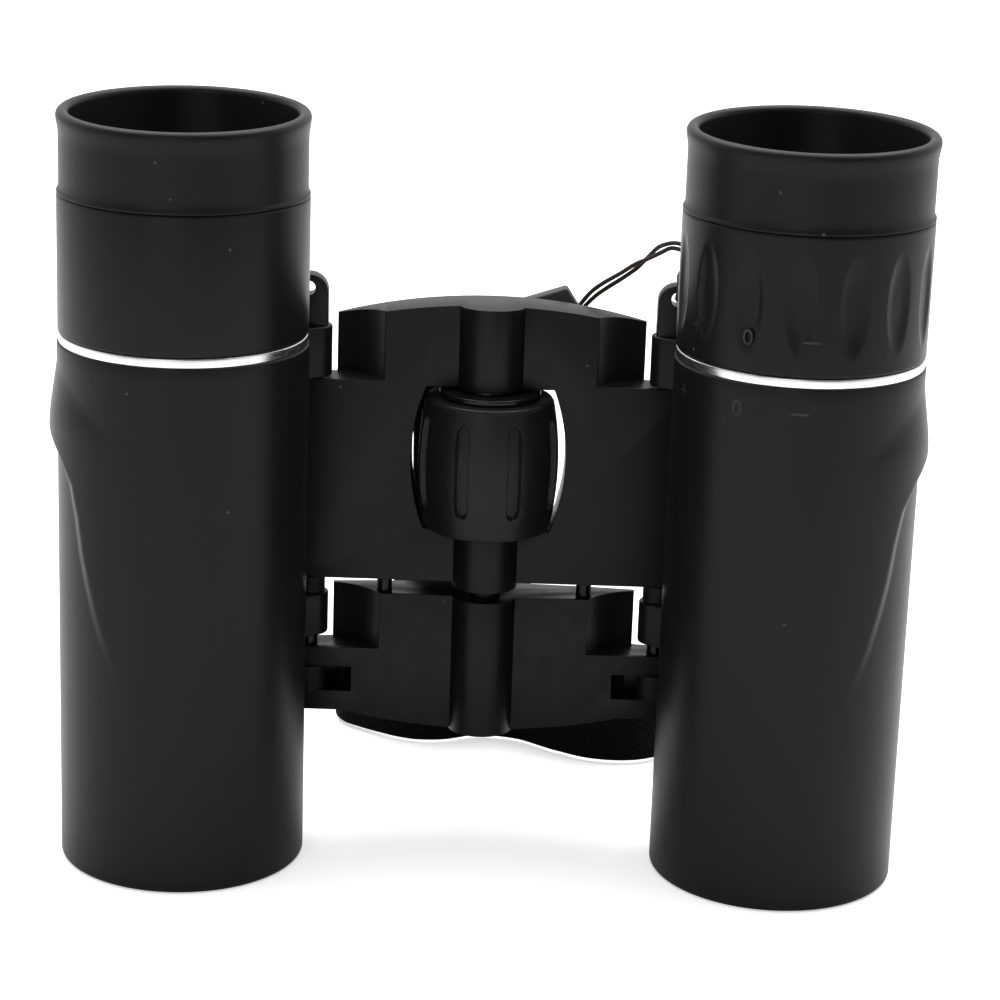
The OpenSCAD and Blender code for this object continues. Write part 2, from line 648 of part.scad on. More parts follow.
// ---- Barrel, drawn round its own axis with the hinge towards -x ----

module hinge_lug(z0, z1) {
    reach = hinge_distance - barrel_r + barrel_wall / 2;
    side = lug_r - 0.15;
    back = rod_r + run_gap + 0.14;
    translate([-hinge_inward, hinge_depth, 0]) {
        disc(lug_r, z0, z1);
        rotate([0, 0, hinge_bearing]) translate([0, 0, z0]) linear_extrude(z1 - z0) polygon([
            [-back, -0.8 * lug_r], [0.3, -side], [reach, -side],
            [reach, side], [0.3, side], [-back, 0.8 * lug_r]
        ]);
    }
}
module strap_eye() {
    eye_x = -hinge_inward + eye_offset;
    round_z = eye_top - eye_width / 2;
    slot_top = eye_top - eye_bar;
    y0 = hinge_depth - eye_thickness / 2;
    y1 = hinge_depth + eye_thickness / 2;
    difference() {
        union() {
            translate([eye_x - eye_width / 2, y0, upper_lug_top - fine_cut])
                cube([eye_width, eye_thickness, round_z - upper_lug_top + fine_cut]);
            cross_disc(eye_width / 2, eye_x, round_z, y0, y1);
        }
        translate([eye_x - eye_slot / 2, y0 - cut, slot_top - eye_slot_height + eye_slot / 2])
            cube([eye_slot, eye_thickness + 2 * cut, eye_slot_height - eye_slot]);
        cross_disc(eye_slot / 2, eye_x, slot_top - eye_slot_height + eye_slot / 2, y0 - cut, y1 + cut);
        cross_disc(eye_slot / 2, eye_x, slot_top - eye_slot / 2, y0 - cut, y1 + cut);
    }
}
// The tube with a rounded foot
module footed_disc() {
    rotate_extrude() {
        translate([0, foot_rounding]) square([barrel_r, barrel_length - foot_rounding]);
        square([barrel_r - foot_rounding, barrel_length]);
        translate([barrel_r - foot_rounding, foot_rounding]) circle(foot_rounding);
    }
}
// The grip ridge: a tube shifted outwards, scooped away below a curved crease
crease = [[1.08, 63.4], [0.81, 56.6], [0.72, 47.5], [0.59, 37.9], [0.28, 26]];
module grip_ridge() {
    ridge_z = crease[len(crease) - 1][1];
    lift = ridge_peak_z - crease[0][1] - 1;
    ridge_r = barrel_r - ridge_tuck;
    fade = 1.05;
    difference() {
        translate([ridge_height + ridge_tuck, 0, 0]) rotate_extrude() polygon([
            [0, ridge_z],
            [ridge_r, ridge_z],
            [ridge_r, ridge_peak_z],
            [ridge_r - fade * ridge_height, ridge_peak_z + fade * ridge_slope],
            [0, ridge_peak_z + fade * ridge_slope]
        ]);
        slab(-2 * barrel_r, 2 * barrel_r) polygon(concat(
            [for (p = crease) [p[0] * barrel_r, p[1] + lift]],
            [[0, ridge_z - cut], [2 * barrel_r, ridge_z - cut], [2 * barrel_r, crease[0][1] + lift]]
        ));
    }
}

module barrel() {
    slot_z = arm_z - travel_down - 0.3;
    slot_top = arm_z + collar_height + travel_up + 0.3;
    color(plastic) difference() {
        union() {
            footed_disc();
            grip_ridge();
            hinge_lug(upper_lug_z, upper_lug_top);
            hinge_lug(lower_lug_z, lower_lug_top);
            strap_eye();
        }
        disc(bore_r, -cut, barrel_length + cut);
        disc(mouth_r, -cut, mouth_depth);
        translate([-hinge_inward, hinge_depth, 0])
            disc(rod_r + run_gap, lower_lug_z - cut, upper_lug_top - rod_cover);
        rotate([0, 0, 180 + hinge_bearing]) translate([0, -arm_width / 2 - 0.4, slot_z])
            cube([barrel_r + cut, arm_width + 0.8, slot_top - slot_z]);
    }
}
module trim_ring() color(bright) tube(trim_r, neck_r + seat_gap, trim_z, trim_z + trim_height);
module ocular_sleeve() {
    color(plastic) difference() {
        union() {
            disc(bore_r - seat_gap, trim_z - sleeve_length, trim_z);
            disc(neck_r, trim_z - fine_cut, neck_top);
        }
        disc(neck_bore_r, trim_z - sleeve_length - cut, neck_top + cut);
    }
}
module eyepiece_housing() color(plastic) tube(housing_r, neck_r + run_gap, housing_z, eyecup_z);
module dioptre_ring() {
    cutter_r = (pow(flute_width / 2, 2) + pow(flute_depth, 2)) / (2 * flute_depth);
    color(plastic) difference() {
        eyepiece_housing();
        for (i = [0 : flute_count - 1])
            rotate([0, 0, i * 360 / flute_count - 97])
                translate([housing_r - flute_depth + cutter_r, 0, 0])
                    disc(cutter_r, housing_z + (housing_height - flute_length) / 2,
                        housing_z + (housing_height + flute_length) / 2);
    }
}
cup_flare = 2.5;
module eyecup() {
    lip = (housing_r - eyecup_mouth_r) / 2;
    wall_top = overall_height - lip;
    color(rubber) difference() {
        rotate_extrude() {
            polygon([
                [0, eyecup_z], [housing_r - 0.3, eyecup_z], [housing_r - 0.2, eyecup_z + cup_flare],
                [housing_r, wall_top - cup_flare], [housing_r, wall_top], [0, wall_top]
            ]);
            translate([housing_r - lip, wall_top]) circle(lip);
        }
        disc(eyecup_mouth_r, eyecup_z + eyecup_floor, overall_height + cut);
        disc(eyecup_window_r, eyecup_z - cut, eyecup_z + eyecup_floor + cut);
    }
}
module ocular_cell() {
    pocket_r = eye_lens_r + seat_gap;
    color(plastic) difference() {
        disc(pocket_r + cell_wall, cell_top - cell_length, cell_top);
        disc(eye_lens_r - lens_shoulder, cell_top - cell_length - cut, cell_top + cut);
        disc(pocket_r, cell_top - eye_lens_height, cell_top + cut);
        disc(pocket_r, cell_top - cell_length - cut, cell_top - cell_length + field_lens_height);
    }
}
module eye_lens()
    color(lens_blue) lens(eye_lens_r,
        cell_top - eye_lens_height + rim_bulge(1.4, eye_lens_r, eye_lens_r - lens_shoulder) + seat_gap,
        cell_top - 1.2, 0.8, 1.4);
module field_lens()
    color(lens_blue) lens(eye_lens_r, cell_top - cell_length + 0.4,
        cell_top - cell_length + field_lens_height
            - rim_bulge(0.9, eye_lens_r, eye_lens_r - lens_shoulder) - seat_gap, 0.9, -0.6);

// ---- Prisms ----

cage_r = bore_r - seat_gap - 0.07;
cage_floor = 2;
chamber_z = cage_z + cage_floor;
chamber_top = cage_z + cage_length - cage_floor;
module prism_cage() {
    color(rubber) difference() {
        disc(cage_r, cage_z, cage_z + cage_length);
        translate([-chamber_width / 2, -chamber_depth / 2, chamber_z])
            cube([chamber_width, chamber_depth, chamber_top - chamber_z]);
        disc(light_r, cage_z - cut, cage_z + cage_length + cut);
    }
}
prism_depth = chamber_depth - 0.2;
prism_step = 3;
half_w = chamber_width / 2 - 0.1;
module half_prism() {
    top = chamber_z + half_prism_height;
    color(lens_blue) slab(-prism_depth / 2, prism_depth / 2) polygon([
        [-half_w, chamber_z + 0.05], [half_w, chamber_z + 0.05], [half_w, chamber_z + prism_step],
        [half_w * 0.3, top], [-half_w, top]
    ]);
}
module roof_prism() {
    z0 = chamber_z + half_prism_height + 0.1;
    top = z0 + roof_prism_height;
    color(lens_blue) slab(-prism_depth / 2, prism_depth / 2) polygon([
        [-half_w, z0], [half_w, z0], [half_w * 0.45, top], [-half_w * 0.45, top]
    ]);
}
module prism_clip() {
    z0 = chamber_z + half_prism_height + 0.2 + roof_prism_height;
    clip_hole_r = min(light_r, half_w * 0.45 - 0.5);
    color(steel) difference() {
        translate([-half_w, -prism_depth / 2, z0]) cube([2 * half_w, prism_depth, clip_thickness]);
        disc(clip_hole_r, z0 - cut, z0 + clip_thickness + cut);
    }
}

// ---- Objective, drawn like the barrel ----

cell_outer_r = bore_r - run_gap;
cell_ledge_depth = 10; // from the objective cell's lower end to the ledge that its lenses seat on
cell_ledge_z = objective_z + cell_ledge_depth;
arm_back = rod_r + run_gap + 0.2;
module objective_cell() {
    color(rubber) difference() {
        union() {
            disc(cell_outer_r, objective_z, objective_z + objective_length);
            translate([-hinge_inward, hinge_depth, 0]) {
                disc(collar_r, arm_z, arm_z + collar_height);
                rotate([0, 0, hinge_bearing]) translate([-arm_back, -arm_width / 2, arm_z])
                    cube([arm_back + hinge_distance - objective_r - 1, arm_width, collar_height]);
            }
        }
        disc(objective_r + seat_gap, objective_z - cut, cell_ledge_z);
        disc(objective_r - lens_shoulder, objective_z, objective_z + objective_length + cut);
        translate([-hinge_inward, hinge_depth, 0])
            disc(rod_r + run_gap, arm_z - cut, arm_z + collar_height + cut);
    }
}
flint_height = 2.8;
crown_height = 3.5;
crown_bulge = 1.4;
retainer_height = 2.6;
flint_z = cell_ledge_z - flint_height - seat_gap;
crown_z = flint_z - crown_height - 0.06;
module flint_lens() color(lens_blue) lens(objective_r, flint_z, cell_ledge_z - seat_gap, -0.4, -0.8);
module crown_lens() color(lens_blue) lens(objective_r, crown_z, crown_z + crown_height, 0.75, crown_bulge);
retainer_r = objective_r - lens_shoulder - 0.4;
retainer_top = crown_z - rim_bulge(crown_bulge, objective_r, retainer_r) - seat_gap;
module objective_retainer()
    color(rubber) tube(objective_r, retainer_r, retainer_top - retainer_height, retainer_top);

// ---- Strap ----

module strap_cord() color(cord_black) round_sweep(smooth(cord_route, 2), cord_d / 2, 8);
module strap_band() color(cord_black) ribbon_sweep(smooth(band_route, 2), smooth(band_lean, 2), band_width, band_thickness);
module strap_tab() {
    color(rubber) translate(tab_end) rotate([0, -tab_tilt, 0])
        slab(-tab_thickness / 2, tab_thickness / 2) polygon([
            [-tab_length, -tab_width / 2], [tab_slant, -tab_width / 2],
            [0, tab_width / 2], [-tab_length, tab_width / 2]
        ]);
}

in_frame() upper_bridge();
in_frame() bridge_plate();
in_frame() plate_screws();
in_frame() mirror([1, 0, 0]) hinge_rod();  // hinge_rod_left
in_frame() hinge_rod();  // hinge_rod_right
in_frame() guide_rods();
in_frame() hinge_spacers();
in_frame() wheel_pivot_pin();
in_frame() wheel_washer();
in_frame() wheel_hub();
in_frame() wheel_grip();
in_frame() lower_bridge();
in_frame() focus_spindle();
in_frame() spindle_screw();
on_left() barrel();  // left_barrel
on_left() trim_ring();  // left_trim_ring
on_left() ocular_sleeve();  // left_ocular_sleeve
on_left() eyepiece_housing();  // left_eyepiece_housing
on_left() eyecup();  // left_eyecup
on_left() ocular_cell();  // left_ocular_cell
on_left() eye_lens();  // left_eye_lens
on_left() field_lens();  // left_field_lens
on_left() prism_cage();  // left_prism_cage
on_left() roof_prism();  // left_roof_prism
on_left() half_prism();  // left_half_prism
on_left() prism_clip();  // left_prism_clip
on_left() objective_cell();  // left_objective_cell
on_left() crown_lens();  // left_crown_lens
on_left() flint_lens();  // left_flint_lens
on_left() objective_retainer();  // left_objective_retainer
on_right() barrel();  // right_barrel
on_right() trim_ring();  // right_trim_ring
on_right() ocular_sleeve();  // right_ocular_sleeve
on_right() dioptre_ring();
on_right() eyecup();  // right_eyecup
on_right() ocular_cell();  // right_ocular_cell
on_right() eye_lens();  // right_eye_lens
on_right() field_lens();  // right_field_lens
on_right() prism_cage();  // right_prism_cage
on_right() roof_prism();  // right_roof_prism
on_right() half_prism();  // right_half_prism
on_right() prism_clip();  // right_prism_clip
on_right() objective_cell();  // right_objective_cell
on_right() crown_lens();  // right_crown_lens
on_right() flint_lens();  // right_flint_lens
on_right() objective_retainer();  // right_objective_retainer
in_frame() strap_cord();
in_frame() strap_tab();
in_frame() strap_band();
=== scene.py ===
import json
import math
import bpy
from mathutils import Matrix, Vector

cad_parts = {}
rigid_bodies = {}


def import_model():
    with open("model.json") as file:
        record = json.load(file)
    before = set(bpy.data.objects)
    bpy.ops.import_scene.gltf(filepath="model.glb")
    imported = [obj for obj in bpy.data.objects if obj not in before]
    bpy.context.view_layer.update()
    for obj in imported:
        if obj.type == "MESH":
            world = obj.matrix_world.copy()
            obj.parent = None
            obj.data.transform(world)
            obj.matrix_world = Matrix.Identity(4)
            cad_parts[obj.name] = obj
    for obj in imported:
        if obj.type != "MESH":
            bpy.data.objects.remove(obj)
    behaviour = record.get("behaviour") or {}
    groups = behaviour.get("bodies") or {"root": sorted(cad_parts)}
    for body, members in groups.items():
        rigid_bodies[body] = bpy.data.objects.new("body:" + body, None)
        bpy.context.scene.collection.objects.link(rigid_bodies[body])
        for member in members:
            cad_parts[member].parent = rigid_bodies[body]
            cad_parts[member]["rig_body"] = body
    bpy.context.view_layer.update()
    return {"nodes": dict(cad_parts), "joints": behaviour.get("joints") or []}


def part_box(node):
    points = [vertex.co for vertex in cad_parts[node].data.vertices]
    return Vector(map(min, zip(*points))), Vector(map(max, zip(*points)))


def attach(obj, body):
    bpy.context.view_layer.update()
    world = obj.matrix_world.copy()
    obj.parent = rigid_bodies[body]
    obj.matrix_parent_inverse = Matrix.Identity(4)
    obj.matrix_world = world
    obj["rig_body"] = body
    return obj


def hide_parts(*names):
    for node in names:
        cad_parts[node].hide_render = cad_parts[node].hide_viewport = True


bl_info = {
    "name": "Folding Binoculars",
    "version": (1, 0, 0),
    "blender": (4, 5, 0),
    "location": "3D View > Sidebar > Binoculars",
    "description": "Casings, bridges, focusing wheel, eyepieces and wrist strap of pocket binoculars",
    "category": "Object",
}

import bmesh
import bpy
from bpy.props import FloatProperty, FloatVectorProperty, IntProperty, PointerProperty
from mathutils import Matrix, Vector

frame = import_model()
MM = 0.001
TURN = 2 * math.pi
SIDES = ("left", "right")
OUTWARD = {"left": -1, "right": 1}


# ---- Places that the frame gives ----

def middle(node):
    low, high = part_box(node)
    return (low + high) / 2


JOINTS = {joint["name"]: joint for joint in frame["joints"]}
AXIS = {side: middle(side + "_trim_ring").xy for side in SIDES}
HINGE = {side: Vector(JOINTS[side + "_fold"]["pos_m"]).xy for side in SIDES}
WHEEL = Vector(JOINTS["focus_turn"]["pos_m"]).xy
TRIM_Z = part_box("left_trim_ring")[0].z
HOUSING_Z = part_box("left_eyepiece_housing")[0].z
EYECUP_Z, TOP_Z = (corner.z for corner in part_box("left_eyecup"))

# ---- Sizes shared with the machined parts ----

BARRELS_Y = -2.3              # millimetres from the frame's origin to the barrels' plane
EYEPIECE_RADIUS = 17.1 * MM   # housing, dioptre ring and eyecups
LUG_RADIUS = 2.7 * MM         # a hinge lug's and a strap eye's rounding
LUG_HEIGHTS = {"_lower_lug": (28.95 * MM, 35.15 * MM), "_upper_lug": (67.3 * MM, 74.6 * MM)}
ARM_SLOT = (18.2 * MM, 25.6 * MM)       # heights of the cut for the lower bridge's arm
COLLAR_SLOT = (20.1 * MM, 24.5 * MM)    # heights of the walls behind the collar slots


# ---- Settings shown in the panel ----

def length_field(name, millimetres, description):
    return FloatProperty(name=name, description=description, default=millimetres * MM, unit="LENGTH")


def angle_field(name, degrees, description):
    return FloatProperty(name=name, description=description, default=math.radians(degrees),
                         subtype="ANGLE", unit="ROTATION")


def count_field(name, number, description):
    return IntProperty(name=name, description=description, default=number)


def colour_field(name, colour, description):
    return FloatVectorProperty(name=name, description=description, default=colour, subtype="COLOR")


class CasingSettings(bpy.types.PropertyGroup):
    radius: length_field("Casing radius", 17.2, "Outer radius of a barrel casing")
    bore: length_field("Bore radius", 15.6, "Inner radius of a barrel casing")
    mouth: length_field("Mouth radius", 16.0, "Inner radius at the objective's end")
    ridge_rise: length_field("Ridge rise", 1.2, "How far the grip ridge stands out")
    ridge_peak: length_field("Ridge peak", 64.4, "Height of the grip ridge's peak")
    ridge_softness: length_field("Crease softness", 1.5, "Width over which the crease rounds off")
    segments: count_field("Segments", 384, "Faces round a casing")


class EyepieceSettings(bpy.types.PropertyGroup):
    flute_count: count_field("Flutes", 15, "Grip flutes round the dioptre ring")
    flute_width: length_field("Flute width", 4.6, "Width of one flute")
    flute_length: length_field("Flute length", 14.6, "Height of one flute")
    flute_depth: length_field("Flute depth", 0.5, "Depth in a flute's middle")
    cup_mouth: length_field("Eyecup mouth", 15.35, "Inner radius of an eyecup")
    rim_drop: length_field("Rim drop", 0.95, "How far a soft eyecup's rim has sunk")
    rim_lean: length_field("Rim lean", 0.65, "How far the sunk rim leans to the front")


class FocusSettings(bpy.types.PropertyGroup):
    groove_count: count_field("Grooves", 8, "Grooves round the focusing wheel")
    groove_width: length_field("Groove width", 2.3, "Width of one groove")
    groove_length: length_field("Groove length", 13.4, "Height of one groove")
    groove_depth: length_field("Groove depth", 0.75, "Depth of one groove")
    edge_radius: length_field("Edge radius", 0.22, "Rounding of the bridges' moulded edges")


class StrapSettings(bpy.types.PropertyGroup):
    cord_diameter: length_field("Cord diameter", 0.65, "Diameter of the braided cord")
    band_width: length_field("Webbing width", 11, "Width of the woven wrist band")
    band_thickness: length_field("Webbing thickness", 1.1, "Thickness of the wrist band")
    colour: colour_field("Strap colour", (0.016, 0.013, 0.012), "Colour of the strap's yarn")


class FinishSettings(bpy.types.PropertyGroup):
    plastic: colour_field("Plastic colour", (0.0056, 0.0056, 0.0058), "Colour of the moulded casings")
    rubber: colour_field("Rubber colour", (0.0058, 0.0058, 0.006), "Colour of eyecups and wheel")
    trim: colour_field("Trim colour", (0.88, 0.88, 0.89), "Colour of the bright rings")
    coating: colour_field("Coating colour", (0.30, 0.38, 0.75), "Colour of the lens coating")


class StageSettings(bpy.types.PropertyGroup):
    distance: length_field("Camera distance", 406.8, "From the camera to its target")
    elevation: angle_field("Elevation", 16.48, "Camera's angle over the table")
    azimuth: angle_field("Azimuth", -0.48, "Camera's angle round the object")
    roll: angle_field("Roll", 1.95, "Camera's turn about its own axis")
    focal_length: FloatProperty(name="Focal length", description="Lens on a 36 mm sensor, in millimetres",
                                default=105.386)
    floor: colour_field("Floor colour", (0.93, 0.93, 0.93), "Colour of the table")


SETTINGS = {
    "bino_casing": CasingSettings,
    "bino_eyepiece": EyepieceSettings,
    "bino_focus": FocusSettings,
    "bino_strap": StrapSettings,
    "bino_finish": FinishSettings,
    "bino_stage": StageSettings,
}


# ---- Mesh tools ----

def arc_points(centre, radius, start, end, steps):
    """Points on an arc about a centre, from one angle to another."""
    turns = [start + (end - start) * k / steps for k in range(steps + 1)]
    return [Vector((centre[0] + radius * math.cos(turn), centre[1] + radius * math.sin(turn)))
            for turn in turns]


def round_axis(axis, reach, angle, z):
    """The place at this reach, angle and height from an upright axis."""
    return (axis[0] + reach * math.cos(angle), axis[1] + reach * math.sin(angle), z)


def full_turn(count):
    return [TURN * i / count for i in range(count)]


def linked(name, mesh):
    """The object of a mesh, in the scene."""
    piece = bpy.data.objects.new(name, mesh)
    bpy.context.scene.collection.objects.link(piece)
    return piece


def shade(mesh, sharp):
    """Smooth shading, but for edges sharper than this many degrees."""
    mesh.shade_smooth()
    mesh.set_sharp_from_angle(angle=math.radians(sharp))


def as_object(name, bm, sharp):
    """Merges doubles, turns faces outward and makes the object."""
    bmesh.ops.remove_doubles(bm, verts=bm.verts, dist=1e-7)
    bmesh.ops.recalc_face_normals(bm, faces=bm.faces)
    mesh = bpy.data.meshes.new(name)
    bm.to_mesh(mesh)
    bm.free()
    shade(mesh, sharp)
    return linked(name, mesh)


def skin(bm, rings, closed=False):
    """Quads between rings of the same number of points, each ring closed on itself."""
    rows = [[bm.verts.new(point) for point in ring] for ring in rings]
    for lower, upper in zip(rows, rows[1:] + rows[:1] if closed else rows[1:]):
        for corners in zip(lower, lower[1:] + lower[:1], upper[1:] + upper[:1], upper):
            bm.faces.new(corners)
    return rows


def turned(name, outline, axis, angles, sharp=32, rise=None):
    """A closed solid of revolution about an upright axis; rise(angle, r, z) adds to a radius."""
    rings = []
    for r, z in outline:
        rings.append([round_axis(axis, r + (rise(angle, r, z) if rise else 0), angle, z)
                      for angle in angles])
    bm = bmesh.new()
    skin(bm, rings, closed=True)
    return as_object(name, bm, sharp)


def upright_prism(name, plan, low, high, edge=0.0, steps=1, sharp=40):
    """A solid over a closed plan of points, with its top and bottom edges rounded."""
    if sum(a.x * b.y - b.x * a.y for a, b in zip(plan, plan[1:] + plan[:1])) < 0:
        plan = plan[::-1]
    normals = []
    for before, here, after in zip(plan[-1:] + plan[:-1], plan, plan[1:] + plan[:1]):
        along = ((after - here).normalized() + (here - before).normalized()).normalized()
        normals.append(Vector((along.y, -along.x)))
    section = arc_points((edge, low + edge), edge, -math.pi / 2, -math.pi, steps)
    section += arc_points((edge, high - edge), edge, math.pi, math.pi / 2, steps)
    bm = bmesh.new()
    rows = skin(bm, [[(*(p - n * inset), z) for p, n in zip(plan, normals)] for inset, z in section])
    bm.faces.new(rows[0][::-1])
    bm.faces.new(rows[-1])
    return as_object(name, bm, sharp)


def applied(piece, sharp):
    """Makes the evaluated shape of a piece its own plain mesh, and drops its modifiers."""
    bpy.context.view_layer.update()
    graph = bpy.context.evaluated_depsgraph_get()
    mesh = bpy.data.meshes.new_from_object(piece.evaluated_get(graph))
    piece.modifiers.clear()
    old = piece.data
    piece.data = mesh
    bpy.data.meshes.remove(old)
    mesh.name = piece.name
    shade(mesh, sharp)


def combined(piece, other, operation, sharp=38):
    """Boolean of two closed pieces; the second one is used up."""
    cutter = piece.modifiers.new("Combine", "BOOLEAN")
    cutter.operation = operation
    cutter.solver = "EXACT"
    cutter.object = other
    applied(piece, sharp)
    mesh = other.data
    bpy.data.objects.remove(other)
    bpy.data.meshes.remove(mesh)


def softened(name, node, radius, segments):
    """A copy of a machined node, merged, with its sharp edges rounded."""
    bm = bmesh.new()
    bm.from_mesh(frame["nodes"][node].data)
    bmesh.ops.remove_doubles(bm, verts=bm.verts, dist=2e-6)
    bmesh.ops.dissolve_limit(bm, angle_limit=math.radians(1.0), verts=bm.verts, edges=bm.edges)
    sharp = [e for e in bm.edges if len(e.link_faces) == 2 and e.calc_face_angle(0) > math.radians(30)]
    bmesh.ops.bevel(bm, geom=sharp, offset=radius, offset_type="OFFSET", segments=segments, profile=0.5,
                    affect="EDGES", clamp_overlap=True, miter_outer="SHARP", loop_slide=True)
    return as_object(name, bm, 35)


def fitted(piece, body, slot, material, *nodes):
    """Gives a finished piece its material and its body, and hides the nodes it stands for; the slot is not
    used.
    """
    materials = piece.data.materials
    if not materials:
        materials.append(material)
    for i, given in enumerate(materials):
        if given is None:
            materials[i] = material
    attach(piece, body)
    if nodes:
        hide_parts(*nodes)


def dress(node, material):
    """Gives a node that stays its material."""
    materials = frame["nodes"][node].data.materials
    if not materials:
        materials.append(material)
    for i in range(len(materials)):
        materials[i] = material


def body_with(node):
    return frame["nodes"][node]["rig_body"]


def smooth_path(points, per):
    """Points on a smooth curve through the given ones, this many from each to the next."""
    points = [Vector(p) for p in points]
    line = [points[0] * 2 - points[1], *points, points[-1] * 2 - points[-2]]
    path = []
    for a, b, c, d in zip(line, line[1:], line[2:], line[3:]):
        for t in (k / per for k in range(per)):
            path.append(0.5 * ((2 * b) + (c - a) * t + (2 * a - 5 * b + 4 * c - d) * t * t
                               + (3 * b - a - 3 * c + d) * t ** 3))
    return path + points[-1:]


def smooth_step(value):
    value = min(max(value, 0.0), 1.0)
    return value * value * (3 - 2 * value)


# ---- Node tools ----

class Nodes:
    """Short ways to add and join the nodes of one tree."""

    def __init__(self, tree):
        self.tree = tree

    def plug(self, value, socket):
        """Links an output to an input, or gives the input a value."""
        if isinstance(value, bpy.types.NodeSocket):
            self.tree.links.new(value, socket)
        elif value is not None:
            socket.default_value = value

    def fill(self, node, **inputs):
        """Fills the named inputs of a node, where _ stands for a blank."""
        for key, value in inputs.items():
            self.plug(value, node.inputs[key.replace("_", " ")])
        return node

    def add(self, kind, **inputs):
        return self.fill(self.tree.nodes.new(kind), **inputs)

    def maths(self, operation, a, b=None, clamp=False):
        node = self.add("ShaderNodeMath")
        node.operation = operation
        node.use_clamp = clamp
        self.plug(a, node.inputs[0])
        self.plug(b, node.inputs[1])
        return node.outputs[0]

    def times(self, a, b):
        return self.maths("MULTIPLY", a, b)

    def vectors(self, operation, a, b=None):
        node = self.add("ShaderNodeVectorMath")
        node.operation = operation
        self.plug(a, node.inputs[0])
        self.plug(b, node.inputs["Scale" if operation == "SCALE" else 1])
        return node.outputs["Value" if operation == "LENGTH" else "Vector"]

    def split(self, vector):
        return self.add("ShaderNodeSeparateXYZ", Vector=vector).outputs

    def ramp(self, value, low, high, to_low=0.0, to_high=1.0):
        """A smooth step from one value to another."""
        node = self.add("ShaderNodeMapRange", Value=value, From_Min=low, From_Max=high, To_Min=to_low,
                        To_Max=to_high)
        node.interpolation_type = "SMOOTHSTEP"
        return node.outputs[0]

    def place(self, stretch=None):
        """The object's own coordinates."""
        place = self.add("ShaderNodeTexCoord").outputs["Object"]
        return self.add("ShaderNodeMapping", Vector=place, Scale=stretch).outputs[0] if stretch else place

    def noise(self, scale, detail, roughness=0.5, stretch=None):
        return self.add("ShaderNodeTexNoise", Vector=self.place(stretch), Scale=scale, Detail=detail,
                        Roughness=roughness).outputs[0]

    def group(self, tree, **inputs):
        node = self.add("ShaderNodeGroup")
        node.node_tree = tree
        return self.fill(node, **inputs).outputs

    def mixed(self, factor, first, second):
        """Two colours mixed; a plain colour is a tuple."""
        node = self.add("ShaderNodeMix")
        node.data_type = "RGBA"
        self.plug(factor, node.inputs[0])
        for colour, socket in ((first, node.inputs[6]), (second, node.inputs[7])):
            self.plug((*colour, 1) if isinstance(colour, tuple) else colour, socket)
        return node.outputs[2]

    def bumped(self, height, distance):
        return self.add("ShaderNodeBump", Strength=1.0, Distance=distance, Height=height).outputs[0]


def add_sockets(tree, way, sockets):
    """Adds sockets given by label and default; one without a default is named after its type."""
    kinds = {float: "Float", int: "Int", tuple: "Vector"}
    for label, default in sockets.items():
        kind = "NodeSocket" + kinds.get(type(default), label)
        socket = tree.interface.new_socket(label, in_out=way, socket_type=kind)
        if default is not None:
            socket.default_value = default


def node_group(name, kind, inputs, outputs):
    """Turns a function that fills a tree into one that hands out its group, built once."""
    def group_of(fill):
        def group():
            if name not in bpy.data.node_groups:
                tree = bpy.data.node_groups.new(name, kind)
                add_sockets(tree, "INPUT", inputs)
                add_sockets(tree, "OUTPUT", outputs)
                net = Nodes(tree)
                fill(net, net.add("NodeGroupInput").outputs, net.add("NodeGroupOutput").inputs)
            return bpy.data.node_groups[name]
        return group
    return group_of


# ---- Geometry Nodes: recesses round a grip and stitches along a line ----

def finish_tree(net, geometry, material, out):
    """The tree's last nodes: real geometry with its material."""
    real = net.add("GeometryNodeRealizeInstances", Geometry=geometry)
    dressed = net.add("GeometryNodeSetMaterial", Geometry=real.outputs[0], Material=material)
    net.plug(dressed.outputs[0], out[0])


@node_group("Grip Recesses", "GeometryNodeTree",
            {"Geometry": None, "Centre": (0, 0, 0), "Outer Radius": 0.016, "Count": 12.0, "First Angle": 0.0,
             "Middle Height": 0.0, "Width": 0.003, "Length": 0.012, "Depth": 0.0005, "End Shape": 2.0,
             "Floor Share": 0.3, "Material": None}, {"Geometry": None})
def recess_tree(net, given, out):
    """Sinks recesses into a grip, in an even ring round an upright axis."""
    maths, times = net.maths, net.times
    place = net.add("GeometryNodeInputPosition").outputs[0]
    split = net.split(net.vectors("SUBTRACT", place, given["Centre"]))
    flat = net.add("ShaderNodeCombineXYZ", X=split[0], Y=split[1]).outputs[0]
    reach = net.vectors("LENGTH", flat)
    angle = maths("SUBTRACT", maths("ARCTAN2", split[1], split[0]), given["First Angle"])
    turns = times(angle, maths("DIVIDE", given["Count"], TURN))
    share = maths("SUBTRACT", turns, maths("ROUND", turns))
    arc = times(times(maths("DIVIDE", share, given["Count"]), TURN), reach)
    across = maths("ABSOLUTE", maths("DIVIDE", arc, times(given["Width"], 0.5)))
    along = maths("ABSOLUTE", maths("DIVIDE", maths("SUBTRACT", split[2], given["Middle Height"]),
                                    times(given["Length"], 0.5)))
    edge = maths("ADD", maths("POWER", across, 2.0), maths("POWER", along, given["End Shape"]))
    depth = net.ramp(edge, 1.0, given["Floor Share"])
    outside = maths("GREATER_THAN", reach, given["Outer Radius"])
    sink = times(times(depth, outside), times(given["Depth"], -1.0))
    offset = net.vectors("SCALE", net.vectors("NORMALIZE", flat), sink)
    moved = net.add("GeometryNodeSetPosition", Geometry=given["Geometry"], Offset=offset)
    finish_tree(net, moved.outputs[0], given["Material"], out)


